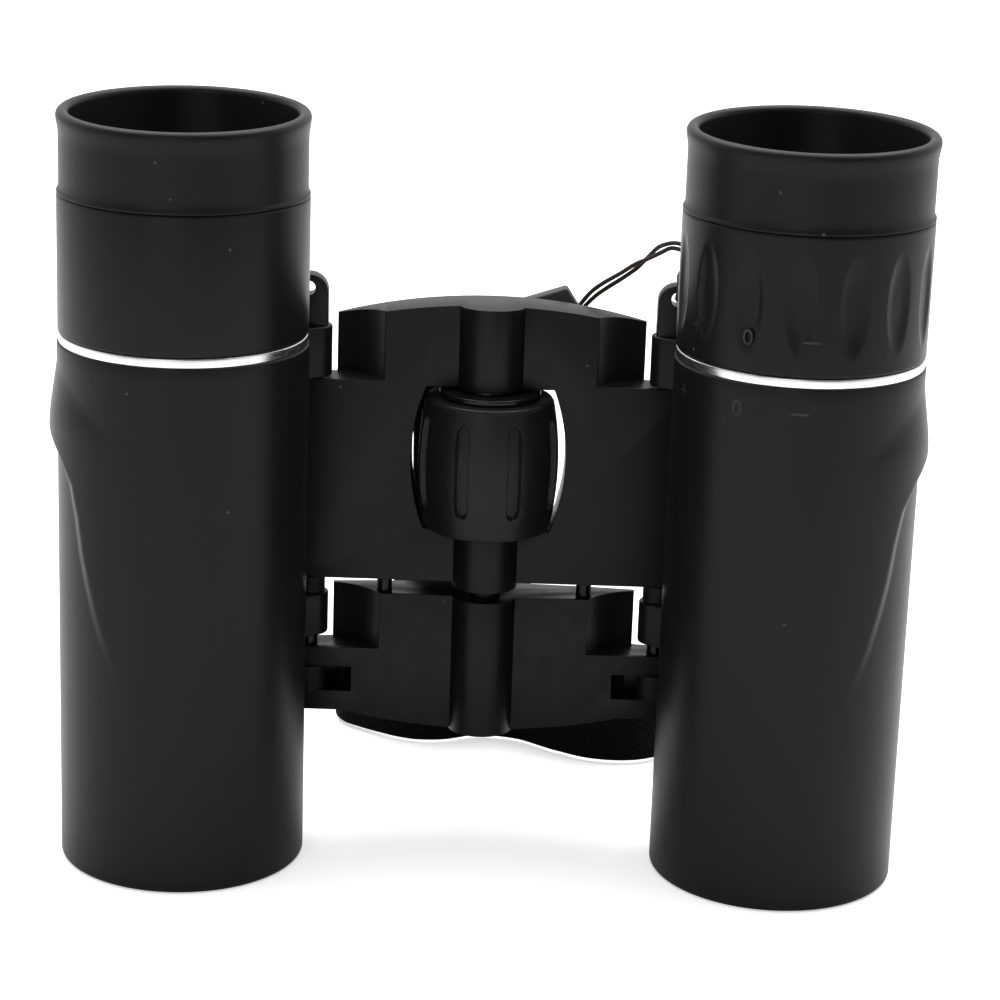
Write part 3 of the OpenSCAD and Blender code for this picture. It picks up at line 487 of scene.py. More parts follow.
@node_group("Thread Stitches", "GeometryNodeTree",
            {"Geometry": None, "Thread Radius": 0.0002, "Stitch Length": 0.0014, "Spacing": 0.002, "Seed": 3,
             "Material": None}, {"Geometry": None})
def stitch_tree(net, given, out):
    """Lays thread stitches along a line of points."""
    line = net.add("GeometryNodeMeshToCurve", Mesh=given["Geometry"])
    spots = net.add("GeometryNodeCurveToPoints")
    spots.mode = "LENGTH"
    net.fill(spots, Curve=line.outputs[0], Length=given["Spacing"])
    thread = net.add("GeometryNodeMeshUVSphere", Segments=8, Rings=6, Radius=1.0)
    size = net.add("ShaderNodeCombineXYZ", X=given["Thread Radius"], Y=given["Thread Radius"],
                   Z=net.times(given["Stitch Length"], 0.5))
    vary = net.add("FunctionNodeRandomValue")
    vary.data_type = "FLOAT_VECTOR"
    net.fill(vary, Min=(0.9, 0.9, 0.88), Max=(1.1, 1.1, 1.08), Seed=given["Seed"])
    scale = net.vectors("MULTIPLY", size.outputs[0], vary.outputs[0])
    placed = net.add("GeometryNodeInstanceOnPoints", Points=spots.outputs["Points"],
                     Instance=thread.outputs["Mesh"], Rotation=spots.outputs["Rotation"], Scale=scale)
    finish_tree(net, placed.outputs[0], given["Material"], out)


def with_tree(piece, tree, sharp, **values):
    """Runs a tree on a piece with the named inputs, and keeps the result as a plain mesh."""
    modifier = piece.modifiers.new(tree.name, "NODES")
    modifier.node_group = tree
    for item in tree.interface.items_tree:
        key = item.name.replace(" ", "_").lower()
        if item.in_out == "INPUT" and key in values:
            modifier[item.identifier] = values[key]
    applied(piece, sharp)


# ---- Shader groups shared by the finishes ----

@node_group("Moulded Grain", "ShaderNodeTree", {"Grain Scale": 5200.0, "Roughness": 0.35, "Spread": 0.06},
            {"Height": 0.0, "Roughness": 0.0, "Tone": 0.0})
def grain_group(net, given, out):
    """Fine moulded grain: a height and a roughness that drifts a little."""
    broad = net.noise(85.0, 4.0, 0.55)
    drift = net.times(net.maths("SUBTRACT", broad, 0.5), 2.0)
    net.plug(net.noise(given["Grain Scale"], 2.0, 0.6), out["Height"])
    net.plug(net.maths("ADD", given["Roughness"], net.times(drift, given["Spread"])), out["Roughness"])
    net.plug(broad, out["Tone"])


@node_group("Dust Specks", "ShaderNodeTree",
            {"Cell Scale": 520.0, "Speck Size": 0.16, "Share": 0.06, "Film": 0.02}, {"Mask": 0.0})
def dust_group(net, given, out):
    """A mask of scattered specks with a faint film between them."""
    cells = net.add("ShaderNodeTexVoronoi", Vector=net.place(), Scale=given["Cell Scale"]).outputs
    kept = net.maths("LESS_THAN", net.split(cells["Color"])[0], given["Share"])
    dot = net.ramp(cells["Distance"], given["Speck Size"], 0.0)
    haze = net.times(net.ramp(net.noise(60.0, 5.0, 0.7), 0.52, 0.75), given["Film"])
    net.plug(net.maths("ADD", net.times(kept, dot), haze, clamp=True), out["Mask"])


@node_group("Rubbed Edges", "ShaderNodeTree", {"Start": 0.53, "Full": 0.62, "Breakup Scale": 400.0},
            {"Mask": 0.0})
def edge_group(net, given, out):
    """A mask of the rubbed, slightly polished edges."""
    sharp = net.add("ShaderNodeNewGeometry").outputs["Pointiness"]
    breakup = net.ramp(net.noise(given["Breakup Scale"], 3.0), 0.35, 0.62)
    net.plug(net.times(net.ramp(sharp, given["Start"], given["Full"]), breakup), out["Mask"])


@node_group("Woven Yarn", "ShaderNodeTree", {"Yarns Along": 900.0, "Yarns Across": 700.0, "Slant": 0.0},
            {"Height": 0.0, "Gap": 0.0})
def weave_group(net, given, out):
    """Plain weave over a UV map in metres: a height, and a mask of the gaps between the yarns where shade is
    painted.
    """
    maths, times = net.maths, net.times
    split = net.split(net.add("ShaderNodeUVMap").outputs[0])
    u = times(maths("ADD", split[0], times(split[1], given["Slant"])), given["Yarns Across"])
    v = times(maths("SUBTRACT", split[1], times(split[0], given["Slant"])), given["Yarns Along"])
    row = maths("MODULO", maths("ADD", maths("FLOOR", u), maths("FLOOR", v)), 2.0)
    over = maths("GREATER_THAN", maths("ABSOLUTE", row), 0.5)
    from_middle = [maths("POWER", maths("ABSOLUTE", maths("SUBTRACT", maths("FRACT", way), 0.5)), 2.0)
                   for way in (u, v)]

    def yarn(steep, gentle):
        """A yarn's height, which falls off more to its sides than along it."""
        return maths("SUBTRACT", 1.0, maths("ADD", times(steep, 3.2), times(gentle, 1.2)))

    warp, weft = yarn(*from_middle), yarn(*from_middle[::-1])
    height = maths("ADD", times(over, warp), times(maths("SUBTRACT", 1.0, over), weft))
    net.plug(height, out["Height"])
    # painted shade: a mask of the low gaps between the yarns, which the woven finish paints darker
    net.plug(net.ramp(height, 0.55, 0.2), out["Gap"])


# ---- Finishes ----

def scaled(colour, factor, lift=0.0):
    return tuple(c * factor + lift for c in colour)


def new_finish(name, roughness, metallic=0.0, specular=0.5):
    """A material with its Principled shader and the tools for its nodes."""
    material = bpy.data.materials.new(name)
    material.use_nodes = True
    net = Nodes(material.node_tree)
    shader = net.fill(material.node_tree.nodes["Principled BSDF"], Roughness=roughness, Metallic=metallic,
                      Specular_IOR_Level=specular)
    return material, shader, net


def built_once(build):
    """Makes a finish the first time and hands out the same one afterwards."""
    def finish(name, *values, **extras):
        return bpy.data.materials.get(name) or build(name, *values, **extras)
    return finish


@built_once
def moulded(name, colour, roughness, specular, grain=5200.0, depth=0.000012, dust=0.035, rub=0.5,
            spread=0.05, film=0.01):
    """Moulded plastic or rubber: fine grain, drifting sheen, rubbed edges and dust."""
    material, shader, net = new_finish(name, roughness, 0.0, specular)
    face = net.group(grain_group(), Grain_Scale=grain, Roughness=roughness, Spread=spread)
    specks = net.group(dust_group(), Share=dust, Film=film)["Mask"]
    edges = net.group(edge_group())["Mask"]
    tone = net.mixed(face["Tone"], scaled(colour, 0.9), scaled(colour, 1.1))
    tone = net.mixed(net.times(edges, rub), tone, scaled(colour, 2.2, 0.004))
    tone = net.mixed(net.times(specks, 0.55), tone, (0.16, 0.16, 0.155))
    rough = net.maths("ADD", face["Roughness"], net.times(specks, 0.3))
    rough = net.maths("SUBTRACT", rough, net.times(edges, 0.08), clamp=True)
    net.fill(shader, Base_Color=tone, Roughness=rough, Normal=net.bumped(face["Height"], depth))
    return material


@built_once
def turned_metal(name, colour, roughness):
    """Lathe-turned metal: fine rings up its height and faint stains."""
    material, shader, net = new_finish(name, roughness, 1.0)
    rings = net.noise(9000.0, 2.0, stretch=(0.02, 0.02, 1.0))
    stain = net.ramp(net.noise(240.0, 4.0), 0.35, 0.7)
    specks = net.group(dust_group(), Share=0.03)["Mask"]
    tone = net.mixed(stain, scaled(colour, 0.86), colour)
    tone = net.mixed(net.times(specks, 0.5), tone, (0.12, 0.11, 0.10))
    rough = net.maths("ADD", net.times(net.maths("SUBTRACT", rings, 0.5), 0.18), roughness, clamp=True)
    net.fill(shader, Base_Color=tone, Roughness=rough, Normal=net.bumped(rings, 0.000004))
    return material


@built_once
def glass_finish(name, tint, coating=None):
    """Clear or coated optical glass, with a trace of dust."""
    polish = 0.015
    material, shader, net = new_finish(name, polish)
    specks = net.group(dust_group(), Share=0.02, Film=0.01)["Mask"]
    net.fill(shader, Transmission_Weight=1.0, IOR=1.52, Specular_Tint=(*coating, 1) if coating else None,
             Base_Color=net.mixed(net.times(specks, 0.3), tint, (0.6, 0.6, 0.58)),
             Roughness=net.maths("ADD", net.times(specks, 0.25), polish, clamp=True))
    return material


@built_once
def woven(name, colour, along, across, specular, slant, depth):
    """Woven or braided yarn on the piece's own UV map, with painted shade in the gaps between the yarns."""
    material, shader, net = new_finish(name, 0.72, 0.0, specular)
    cloth = net.group(weave_group(), Yarns_Along=along, Yarns_Across=across, Slant=slant)
    specks = net.group(dust_group(), Cell_Scale=900.0, Share=0.05)["Mask"]
    fuzz = net.noise(2600.0, 3.0)
    tone = net.mixed(fuzz, scaled(colour, 0.7), scaled(colour, 1.45))
    # painted shade: the gaps between the yarns are painted darker
    tone = net.mixed(cloth["Gap"], tone, scaled(colour, 0.3))
    tone = net.mixed(net.times(specks, 0.15), tone, (0.2, 0.19, 0.18))
    net.fill(shader, Base_Color=tone, Roughness=net.ramp(fuzz, 0.3, 0.7, 0.62, 0.82),
             Normal=net.bumped(cloth["Height"], depth))
    return material


def finishes():
    """Every finish of the object, by name."""
    look = bpy.context.scene.bino_finish
    strap = tuple(bpy.context.scene.bino_strap.colour)
    plastic, rubber = tuple(look.plastic), tuple(look.rubber)
    return {
        "casing": moulded("Satin Black Plastic", plastic, 0.35, 0.17),
        "bridge": moulded("Bridge Plastic", plastic, 0.38, 0.17, grain=4600.0, spread=0.01, rub=0.05,
                          film=0.003),
        "wheel": moulded("Wheel Rubber", scaled(rubber, 1.4), 0.38, 0.2, grain=3800.0, depth=0.00002),
        "hub": moulded("Hub Plastic", plastic, 0.22, 0.35, grain=4200.0),
        "eyecup": moulded("Eyecup Rubber", rubber, 0.38, 0.17, grain=3000.0, depth=0.000016, dust=0.045),
        "inside": moulded("Blackened Inside", (0.004, 0.004, 0.004), 0.62, 0.15, grain=2600.0,
                          depth=0.00003, dust=0.03, rub=0.1),
        "trim": turned_metal("Bright Aluminium", tuple(look.trim), 0.24),
        "steel": turned_metal("Turned Steel", (0.42, 0.42, 0.44), 0.28),
        "black_metal": turned_metal("Black Anodised Metal", (0.02, 0.02, 0.022), 0.3),
        "lens": glass_finish("Coated Lens Glass", (0.93, 0.95, 0.97), tuple(look.coating)),
        "prism": glass_finish("Prism Glass", (0.95, 0.97, 0.96)),
        "cord": woven("Braided Cord", scaled(strap, 3.0), along=2400.0, across=2400.0, specular=0.2,
                      slant=1.0, depth=0.00005),
        "webbing": woven("Woven Webbing", scaled(strap, 0.14), along=1250.0, across=1000.0, specular=0.05,
                         slant=0.4, depth=0.00022),
        "tab": moulded("Strap Tab Leather", (0.052, 0.045, 0.042), 0.6, 0.3, grain=1400.0, depth=0.00006),
        "thread": moulded("Waxed Thread", (0.05, 0.045, 0.04), 0.55, 0.4, grain=2500.0, depth=0.00004),
        "mark": moulded("Marking Ink", scaled(plastic, 1.6, 0.002), 0.36, 0.28),
    }


# ---- Strap ----

def in_frame(points):
    """Millimetres measured from the barrels' plane, as metres in the frame."""
    return [Vector((x * MM, (y + BARRELS_Y) * MM, z * MM)) for x, y, z in points]


def running_lengths(points):
    """How far each point lies along the line through them all."""
    lengths = [0.0]
    for a, b in zip(points, points[1:]):
        lengths.append(lengths[-1] + (b - a).length)
    return lengths


def directions(path):
    """Which way a path runs at each of its points."""
    return [(after - before).normalized()
            for before, after in zip(path[:1] + path[:-1], path[1:] + path[-1:])]


def swept(name, path, sides, normals, profile, girth):
    """A closed profile swept along a path, with UVs in metres: U from girth, V along the path."""
    bm = bmesh.new()
    layer = bm.loops.layers.uv.new("UVMap")
    rows = [[bm.verts.new(point + side * a + normal * b) for a, b in profile]
            for point, side, normal in zip(path, sides, normals)]
    lengths = running_lengths(path)
    for i in range(len(rows) - 1):
        for k in range(len(profile)):
            j = (k + 1) % len(profile)
            face = bm.faces.new((rows[i][k], rows[i][j], rows[i + 1][j], rows[i + 1][k]))
            for loop, u, v in zip(face.loops, (k, k + 1, k + 1, k), (i, i, i + 1, i + 1)):
                loop[layer].uv = (girth[u], lengths[v])
    bm.faces.new(rows[0][::-1])
    bm.faces.new(rows[-1])
    return as_object(name, bm, 60)


def ribbon(name, path, leaning, width, thickness):
    """A flat band with rounded edges; its width lies about where leaning points."""
    sides, normals = [], []
    for along, lean in zip(directions(path), leaning):
        sides.append((lean - along * lean.dot(along)).normalized())
        normals.append(along.cross(sides[-1]))
    thick = thickness / 2
    edge = thick * 0.9
    flat = width / 2 - edge
    across, around = 8, 6
    lower = [(flat * (2 * k / across - 1), -thick) for k in range(across + 1)]
    lower += [(flat + edge * math.sin(math.pi * k / around), -thick * math.cos(math.pi * k / around))
              for k in range(1, around)]
    profile = lower + [(-a, -b) for a, b in lower]
    girth = running_lengths([Vector(p) for p in profile + profile[:1]])
    return swept(name, path, sides, normals, profile, girth)


def round_cord(name, path, radius, sides=12):
    normal = Vector((0, 1, 0))
    normals, crosswise = [], []
    for along in directions(path):
        normal = (normal - along * normal.dot(along)).normalized()
        normals.append(normal)
        crosswise.append(along.cross(normal))
    profile = [(radius * math.sin(turn), radius * math.cos(turn)) for turn in full_turn(sides)]
    girth = [TURN * radius * k / sides for k in range(sides + 1)]
    return swept(name, path, crosswise, normals, profile, girth)


def make_cord(finish):
    """The doubled wrist cord: from the tab over the barrel's edge, through the eye and back."""
    look = bpy.context.scene.bino_strap
    route = in_frame((
        (11.5, 23.4, 74.1), (12.1, 23.55, 75.14), (12.92, 23.6, 76.53), (14.29, 23.3, 78.25),
        (15.99, 22.9, 79.65), (18.2, 22.4, 81.15), (20.1, 21.62, 82.64), (21.94, 20.8, 83.71),
        (23.66, 20.32, 84.73), (24.83, 19.8, 85.48), (25.84, 18.9, 85.67), (26.95, 17.9, 85.36),
        (27.8, 16.6, 83.9), (27.1, 15.2, 81.6), (26.1, 14.2, 80.3), (25.8, 12.5, 79.95), (25.8, 10.9, 80.05),
        (25.8, 9.95, 80.9), (25.8, 9.85, 81.9), (25.8, 10.6, 82.8), (25.9, 12.4, 83.1), (26.4, 14.4, 83.5),
        (27.2, 16.2, 84.9), (27.19, 17.9, 86.12), (25.84, 18.9, 86.47), (24.53, 19.8, 86.16),
        (23.22, 20.88, 85.31), (21.94, 21.8, 83.71), (20.54, 22.18, 82.08), (18.66, 22.4, 80.55),
        (16.53, 22.9, 78.95), (14.91, 23.3, 77.63), (13.5, 23.6, 76.11), (12.68, 24.15, 74.78),
        (11.9, 24.3, 73.7)))
    path = smooth_path(route, 14)
    piece = round_cord("wrist_cord", path, look.cord_diameter / 2)
    fitted(piece, "right_barrel", "cord_fabric", finish["cord"], "strap_cord")
    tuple(path[0])
    running_lengths(path)[-1]


def make_band(finish):
    """The woven wrist band, which leaves the tab, loops behind the barrels and comes back."""
    look = bpy.context.scene.bino_strap
    route = in_frame((
        (2.1, 23.2, 69.5), (-0.8, 23.2, 68.5), (-4.2, 23.2, 65.95), (-5.5, 23.2, 61.9), (-5.5, 23.3, 55.0),
        (-5.4, 24.2, 48.0), (-5.4, 27.2, 41.2), (-6.3, 31.5, 34.5), (-8.4, 37.5, 28.0), (-10.6, 44.0, 21.0),
        (-13.2, 50.0, 15.0), (-16.0, 54.6, 10.4), (-18.8, 57.0, 7.6), (-21.4, 56.6, 6.4), (-22.6, 53.6, 6.1),
        (-21.4, 50.4, 6.0), (-18.6, 48.0, 6.0), (-15.6, 46.0, 6.0), (-12.8, 44.4, 6.0), (-9.6, 43.4, 6.0),
        (-5.4, 43.8, 6.0), (-0.4, 46.0, 6.0), (6.0, 45.0, 6.0), (12.0, 40.6, 6.0), (18.0, 37.4, 6.0),
        (24.5, 37.4, 6.0), (29.5, 41.0, 6.0), (31.5, 47.5, 6.0), (30.0, 54.5, 6.0), (24.5, 60.0, 6.2),
        (17.0, 62.0, 7.4), (10.5, 60.5, 10.5), (5.5, 56.5, 16.0), (2.0, 51.0, 23.0), (-0.5, 44.5, 31.0),
        (-2.4, 38.0, 39.5), (-4.2, 32.2, 48.0), (-5.2, 28.2, 55.5), (-5.5, 25.7, 61.9), (-4.2, 24.7, 65.95),
        (-0.8, 24.5, 68.5), (2.1, 24.5, 69.5)))
    leaning = ([(-0.32, 0, 0.95)] * 2 + [(-0.81, 0, 0.58), (-0.98, 0, 0.15)] + [(-1, 0, 0)] * 3
               + [(-0.95, 0, 0.1), (-0.85, 0.2, 0.35), (-0.6, 0.3, 0.7), (-0.35, 0.3, 0.85)]
               + [(-0.15, 0.2, 0.95)] + [(0, 0, 1)] * 19 + [(0.3, 0, 0.95), (0.6, 0, 0.8), (0.85, 0, 0.5)]
               + [(0.97, 0, 0.2)] + [(1, 0, 0)] * 2 + [(1, 0, -0.05), (0.98, 0, -0.15), (0.81, 0, -0.58)]
               + [(0.32, 0, -0.95)] * 2)
    path = smooth_path(route, 8)
    leaning = [side.normalized() for side in smooth_path(leaning, 8)]
    piece = ribbon("wrist_band", path, leaning, look.band_width, look.band_thickness)
    fitted(piece, "right_barrel", "webbing", finish["webbing"], "strap_band")
    running_lengths(path)[-1]


def make_tab(finish):
    """The folded leather tab that clamps the cord and the band, with a line of stitches."""
    body = softened("leather_tab", "strap_tab", 0.35 * MM, 3)
    end = Vector((12.5 * MM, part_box("strap_tab")[0].y + 0.02 * MM, 73.0 * MM))
    tilt = Matrix.Rotation(math.radians(-18.6), 3, "Y")
    seam = ((-12.4, -4.5), (0.9, -4.5), (-1.4, 4.5), (-12.4, 4.5))
    mesh = bpy.data.meshes.new("tab_stitches")
    mesh.from_pydata([end + tilt @ Vector((x * MM, 0, z * MM)) for x, z in seam],
                     [(0, 1), (1, 2), (2, 3), (3, 0)], [])
    line = linked("tab_stitches", mesh)
    with_tree(line, stitch_tree(), 60, thread_radius=0.16 * MM, stitch_length=1.3 * MM, spacing=1.9 * MM,
              material=finish["thread"])
    fitted(body, "right_barrel", "tab_leather", finish["tab"], "strap_tab")
    fitted(line, "right_barrel", "tab_leather", finish["thread"])


# ---- Barrels ----

def value_at(points, height):
    """The value at a height on a line of (height, value) points, highest first."""
    if height >= points[0][0]:
        return points[0][1]
    for (h0, v0), (h1, v1) in zip(points, points[1:]):
        if height >= h1:
            return v0 + (v1 - v0) * (h0 - height) / (h0 - h1)
    return points[-1][1]


def ridge_rise(look, angle, z):
    """How far the scooped grip ridge stands out of a casing; angle 0 is the outward side."""
    # a narrower tube, shifted outward, which tapers above the ridge's peak
    narrower, peak_rounding, taper_run = 0.8 * MM, 1.6 * MM, 7.6 * MM
    shift = look.ridge_rise + narrower
    over = z - look.ridge_peak
    radius = look.radius - narrower
    radius -= look.ridge_rise * 0.5 * (over + math.hypot(over, peak_rounding)) / taper_run
    side = shift * math.sin(angle)
    rise = shift * math.cos(angle) + math.sqrt(radius * radius - side * side) - look.radius
    if rise < -0.3 * MM:
        return 0.0
    blend = 0.12 * MM
    rise = 0.5 * (rise + math.sqrt(rise * rise + blend * blend))
    crease = ((0.0655, 0.0195), (0.0634, 0.0181), (0.0600, 0.0156), (0.0566, 0.0139), (0.0520, 0.0130),
              (0.0475, 0.0124), (0.0430, 0.0115), (0.0379, 0.0102), (0.0318, 0.0080), (0.0278, 0.0064),
              (0.0240, 0.0045))
    from_crease = value_at(crease, z) - look.radius * math.cos(angle)
    foot, fade = 24.5 * MM, 5 * MM
    return rise * smooth_step(0.5 + from_crease / look.ridge_softness) * smooth_step((z - foot) / fade)


def casing_tube(look, name, axis, outward):
    """The casing's tube with its rounded foot, grip ridge, stepped mouth and bore."""
    foot, lip, step = 0.7 * MM, 0.2 * MM, 5 * MM
    start, end, steps = 24 * MM, 72.6 * MM, 150
    outline = arc_points((look.radius - foot, foot), foot, -math.pi / 2, 0, 6)
    outline += [(look.radius, z * MM) for z in (4, 8, 12, 16, 20)]
    outline += [(look.radius, start + (end - start) * k / steps) for k in range(steps + 1)]
    outline += arc_points((look.radius - lip, TRIM_Z - lip), lip, 0, math.pi / 2, 3)
    outline += [(look.bore, TRIM_Z), (look.bore, step), (look.mouth, step), (look.mouth, lip),
                (look.mouth + lip * 0.4, lip * 0.3), (look.mouth + lip, 0.0)]
    base = 0.0 if outward > 0 else math.pi
    # more faces on the outward side, where the ridge is
    half = look.segments // 2
    spread = [(i - half) / half for i in range(look.segments)]
    angles = [base + math.pi * (0.62 * t + 0.38 * t ** 3) for t in spread]

    def rise(angle, r, z):
        on_ridge = r > look.radius - 0.01 * MM and start <= z <= end
        return ridge_rise(look, angle - base, z) if on_ridge else 0

    return turned(name, outline, axis, angles, 38, rise)


def tipped(piece):
    """Turns a piece that was drawn lying on its plan so that its height runs towards -y."""
    piece.data.transform(Matrix.Rotation(math.radians(90), 4, "X"))
    return piece


def hinge_lug(name, side, low, high):
    """A hinge lug with its neck towards the barrel."""
    hinge = HINGE[side]
    neck = AXIS[side] - hinge
    reach, half = neck.length - 16.4 * MM, 2.55 * MM
    plan = arc_points((0, 0), LUG_RADIUS, math.radians(78), math.radians(282), 28)
    plan += [Vector((reach, -half)), Vector((reach, half))]
    spin = Matrix.Rotation(math.atan2(neck.y, neck.x), 2)
    return upright_prism(name, [spin @ p + hinge for p in plan], low, high, 0.28 * MM, 3, 32)


def strap_eye(name, side):
    """The upright eye over the upper hinge lug, with its slot."""
    top, low, half_depth = 82.0 * MM, 74.3 * MM, 1.5 * MM
    plan = [Vector((-LUG_RADIUS, low)), Vector((LUG_RADIUS, low))]
    plan += arc_points((0, top - LUG_RADIUS), LUG_RADIUS, 0, math.pi, 24)
    body = tipped(upright_prism(name, plan, -half_depth, half_depth, 0.35 * MM, 4, 32))
    slot, slot_low, slot_top = 0.85 * MM, top - 3.0 * MM, top - 1.0 * MM
    hole = arc_points((0, slot_top - slot), slot, 0, math.pi, 14)
    hole += arc_points((0, slot_low + slot), slot, math.pi, TURN, 14)
    combined(body, tipped(upright_prism("Slot", hole, -2 * half_depth, 2 * half_depth)), "DIFFERENCE", 32)
    shift = (HINGE[side].x + OUTWARD[side] * 0.6 * MM, HINGE[side].y, 0)
    body.data.transform(Matrix.Translation(shift))
    return body


def make_casing(side, finish):
    look = bpy.context.scene.bino_casing
    axis, hinge = AXIS[side], HINGE[side]
    casing = casing_tube(look, side + "_casing", axis, OUTWARD[side])
    for part, (low, high) in LUG_HEIGHTS.items():
        combined(casing, hinge_lug(side + part, side, low, high), "UNION")
    combined(casing, strap_eye(side + "_eye", side), "UNION")
    bore = arc_points(hinge, 1.31 * MM, 0, TURN, 40)[:-1]
    combined(casing, upright_prism("Bore", bore, 27 * MM, 73.9 * MM), "DIFFERENCE")
    spin = Matrix.Rotation(math.atan2(hinge.y - axis.y, hinge.x - axis.x), 2)
    near, far, half = 12 * MM, 19 * MM, 2.1 * MM
    plan = [spin @ Vector(p) + axis for p in ((near, -half), (far, -half), (far, half), (near, half))]
    combined(casing, upright_prism("Arm slot", plan, *ARM_SLOT), "DIFFERENCE")
    fitted(casing, side + "_barrel", "black_plastic", finish["casing"], side + "_barrel")
    if side == "right":
        add_marks("casing_mark_", "right_barrel", axis, look.radius, 71.3 * MM, (-69, -33.8, -4.9), finish)


# ---- Rings, eyepieces and lenses ----

def ring_outline(inner, outer, low, high, inner_edge, outer_edge, steps, run=math.inf):
    """A ring's section with rounded corners; its outer side is cut into runs of this length."""
    near, far = inner + inner_edge, outer - outer_edge
    height = high - low - 2 * outer_edge
    runs = int(height / run)
    outline = []
    for quarter, (r, z, edge) in enumerate(((near, low + inner_edge, inner_edge),
                                            (far, low + outer_edge, outer_edge),
                                            (far, high - outer_edge, outer_edge),
                                            (near, high - inner_edge, inner_edge))):
        start = math.pi * (1 + quarter / 2)
        outline += arc_points((r, z), edge, start, start + math.pi / 2, steps)
        if quarter == 1:
            outline += [(outer, z + height * k / runs) for k in range(1, runs)]
    return outline


def make_trim(side, finish):
    low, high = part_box(side + "_trim_ring")
    outline = ring_outline(14.63 * MM, (high.x - low.x) / 2, low.z, high.z, 0.05 * MM, 0.22 * MM, 4)
    ring = turned(side + "_trim", outline, AXIS[side], full_turn(256))
    fitted(ring, side + "_barrel", "trim_aluminium", finish["trim"], side + "_trim_ring")


# the bars of each mark, (width, height), and the half axes of the zero, all in millimetres
MARK_BARS = {"plus": ((1.8, 0.34), (0.34, 1.8)), "zero": (), "minus": ((2.3, 0.34),)}
ZERO_OUTER, ZERO_INNER = (0.72, 1.05), (0.42, 0.75)


def curved_mark(name, kind, axis, radius, angle, z):
    """A raised mark laid on the curve of a ring."""
    raised, sunk = 0.05 * MM, -0.1 * MM

    def ring(points, lift):
        return [round_axis(axis, radius + lift, angle + x * MM / radius, z + y * MM) for x, y in points]

    bm = bmesh.new()
    if kind == "zero":
        outer, inner = ([(a * math.cos(turn), b * math.sin(turn)) for turn in full_turn(32)]
                        for a, b in (ZERO_OUTER, ZERO_INNER))
        skin(bm, [ring(outer, sunk), ring(outer, raised), ring(inner, raised), ring(inner, sunk)],
             closed=True)
    steps = 8
    for width, height in MARK_BARS[kind]:
        bar = [(-width / 2 + width * k / steps, -height / 2) for k in range(steps + 1)]
        bar += [(-x, -y) for x, y in bar]
        for row in skin(bm, [ring(bar, sunk), ring(bar, raised)]):
            for k in range(steps):
                bm.faces.new((row[k], row[k + 1], row[-k - 2], row[-k - 1]))
    return as_object(name, bm, 40)


def add_marks(prefix, body, axis, radius, z, degrees, finish):
    """The plus, zero and minus marks, at angles from the front in degrees."""
    for kind, angle in zip(("plus", "zero", "minus"), degrees):
        mark = curved_mark(prefix + kind, kind, axis, radius, math.radians(angle - 90), z)
        fitted(mark, body, "black_plastic", finish["mark"])


def make_eyepiece(side, finish):
    """The plain housing on the left, the fluted dioptre ring on the right."""
    look = bpy.context.scene.bino_eyepiece
    axis, outer = AXIS[side], EYEPIECE_RADIUS
    section = (14.68 * MM, outer, HOUSING_Z, EYECUP_Z, 0.1 * MM, 0.42 * MM, 6)
    if side == "left":
        body = turned("left_housing", ring_outline(*section), axis, full_turn(256))
        fitted(body, "left_barrel", "black_plastic", finish["casing"], "left_eyepiece_housing")
        return
    body = turned("dioptre_grip", ring_outline(*section, run=0.16 * MM), axis, full_turn(720), 24)
    with_tree(body, recess_tree(), 24, centre=(axis.x, axis.y, 0.0), outer_radius=outer - 0.35 * MM,
              count=float(look.flute_count), first_angle=math.radians(-97.0),
              middle_height=(HOUSING_Z + EYECUP_Z) / 2, width=look.flute_width, length=look.flute_length,
              depth=look.flute_depth, end_shape=2.0, floor_share=0.0, material=finish["casing"])
    fitted(body, "dioptre", "black_plastic", finish["casing"], "dioptre_ring")
    add_marks("ring_mark_", "dioptre", axis, outer, 81 * MM, (-61, -30.5, -1.6), finish)


def make_eyecup(side, finish):
    look = bpy.context.scene.bino_eyepiece
    base, outer, mouth = EYECUP_Z, EYEPIECE_RADIUS, look.cup_mouth
    lip = (outer - mouth) / 2
    wall = TOP_Z - lip
    # how far in and how far up from the foot, or down from the lip, in millimetres
    bead = ((0.18, 0.0), (0.03, 0.1), (0.0, 0.26), (0.05, 0.42), (0.2, 0.6), (0.27, 0.9), (0.3, 1.8))
    flare = ((0.3, 8.0), (0.3, 5.5), (0.3, 3.2), (0.28, 2.2), (0.2, 1.5), (0.1, 0.9), (0.02, 0.35))
    seat = ((0.0, 2.3), (0.12, 2.02), (0.4, 1.9))
    outline = [(11 * MM, base)]
    outline += [(outer - inset * MM, base + up * MM) for inset, up in bead]
    outline += [(outer - inset * MM, wall - down * MM) for inset, down in flare]
    outline += arc_points((outer - lip, wall), lip, 0, math.pi, 14)
    outline += [(mouth - inset * MM, base + up * MM) for inset, up in seat]
    outline += [(11.2 * MM, base + 1.9 * MM), (11 * MM, base + 1.7 * MM)]
    cup = turned(side + "_cup", outline, AXIS[side], full_turn(256), 40)
    start = base + 2.5 * MM
    for vertex in cup.data.vertices:
        share = smooth_step((vertex.co.z - start) / (wall - start))
        front = (AXIS[side].y - vertex.co.y) / outer
        vertex.co.z -= share * (look.rim_drop + look.rim_lean * front)
    fitted(cup, body_with(side + "_eyecup"), "eyecup_rubber", finish["eyecup"], side + "_eyecup")


# ---- Bridges and the focusing wheel ----

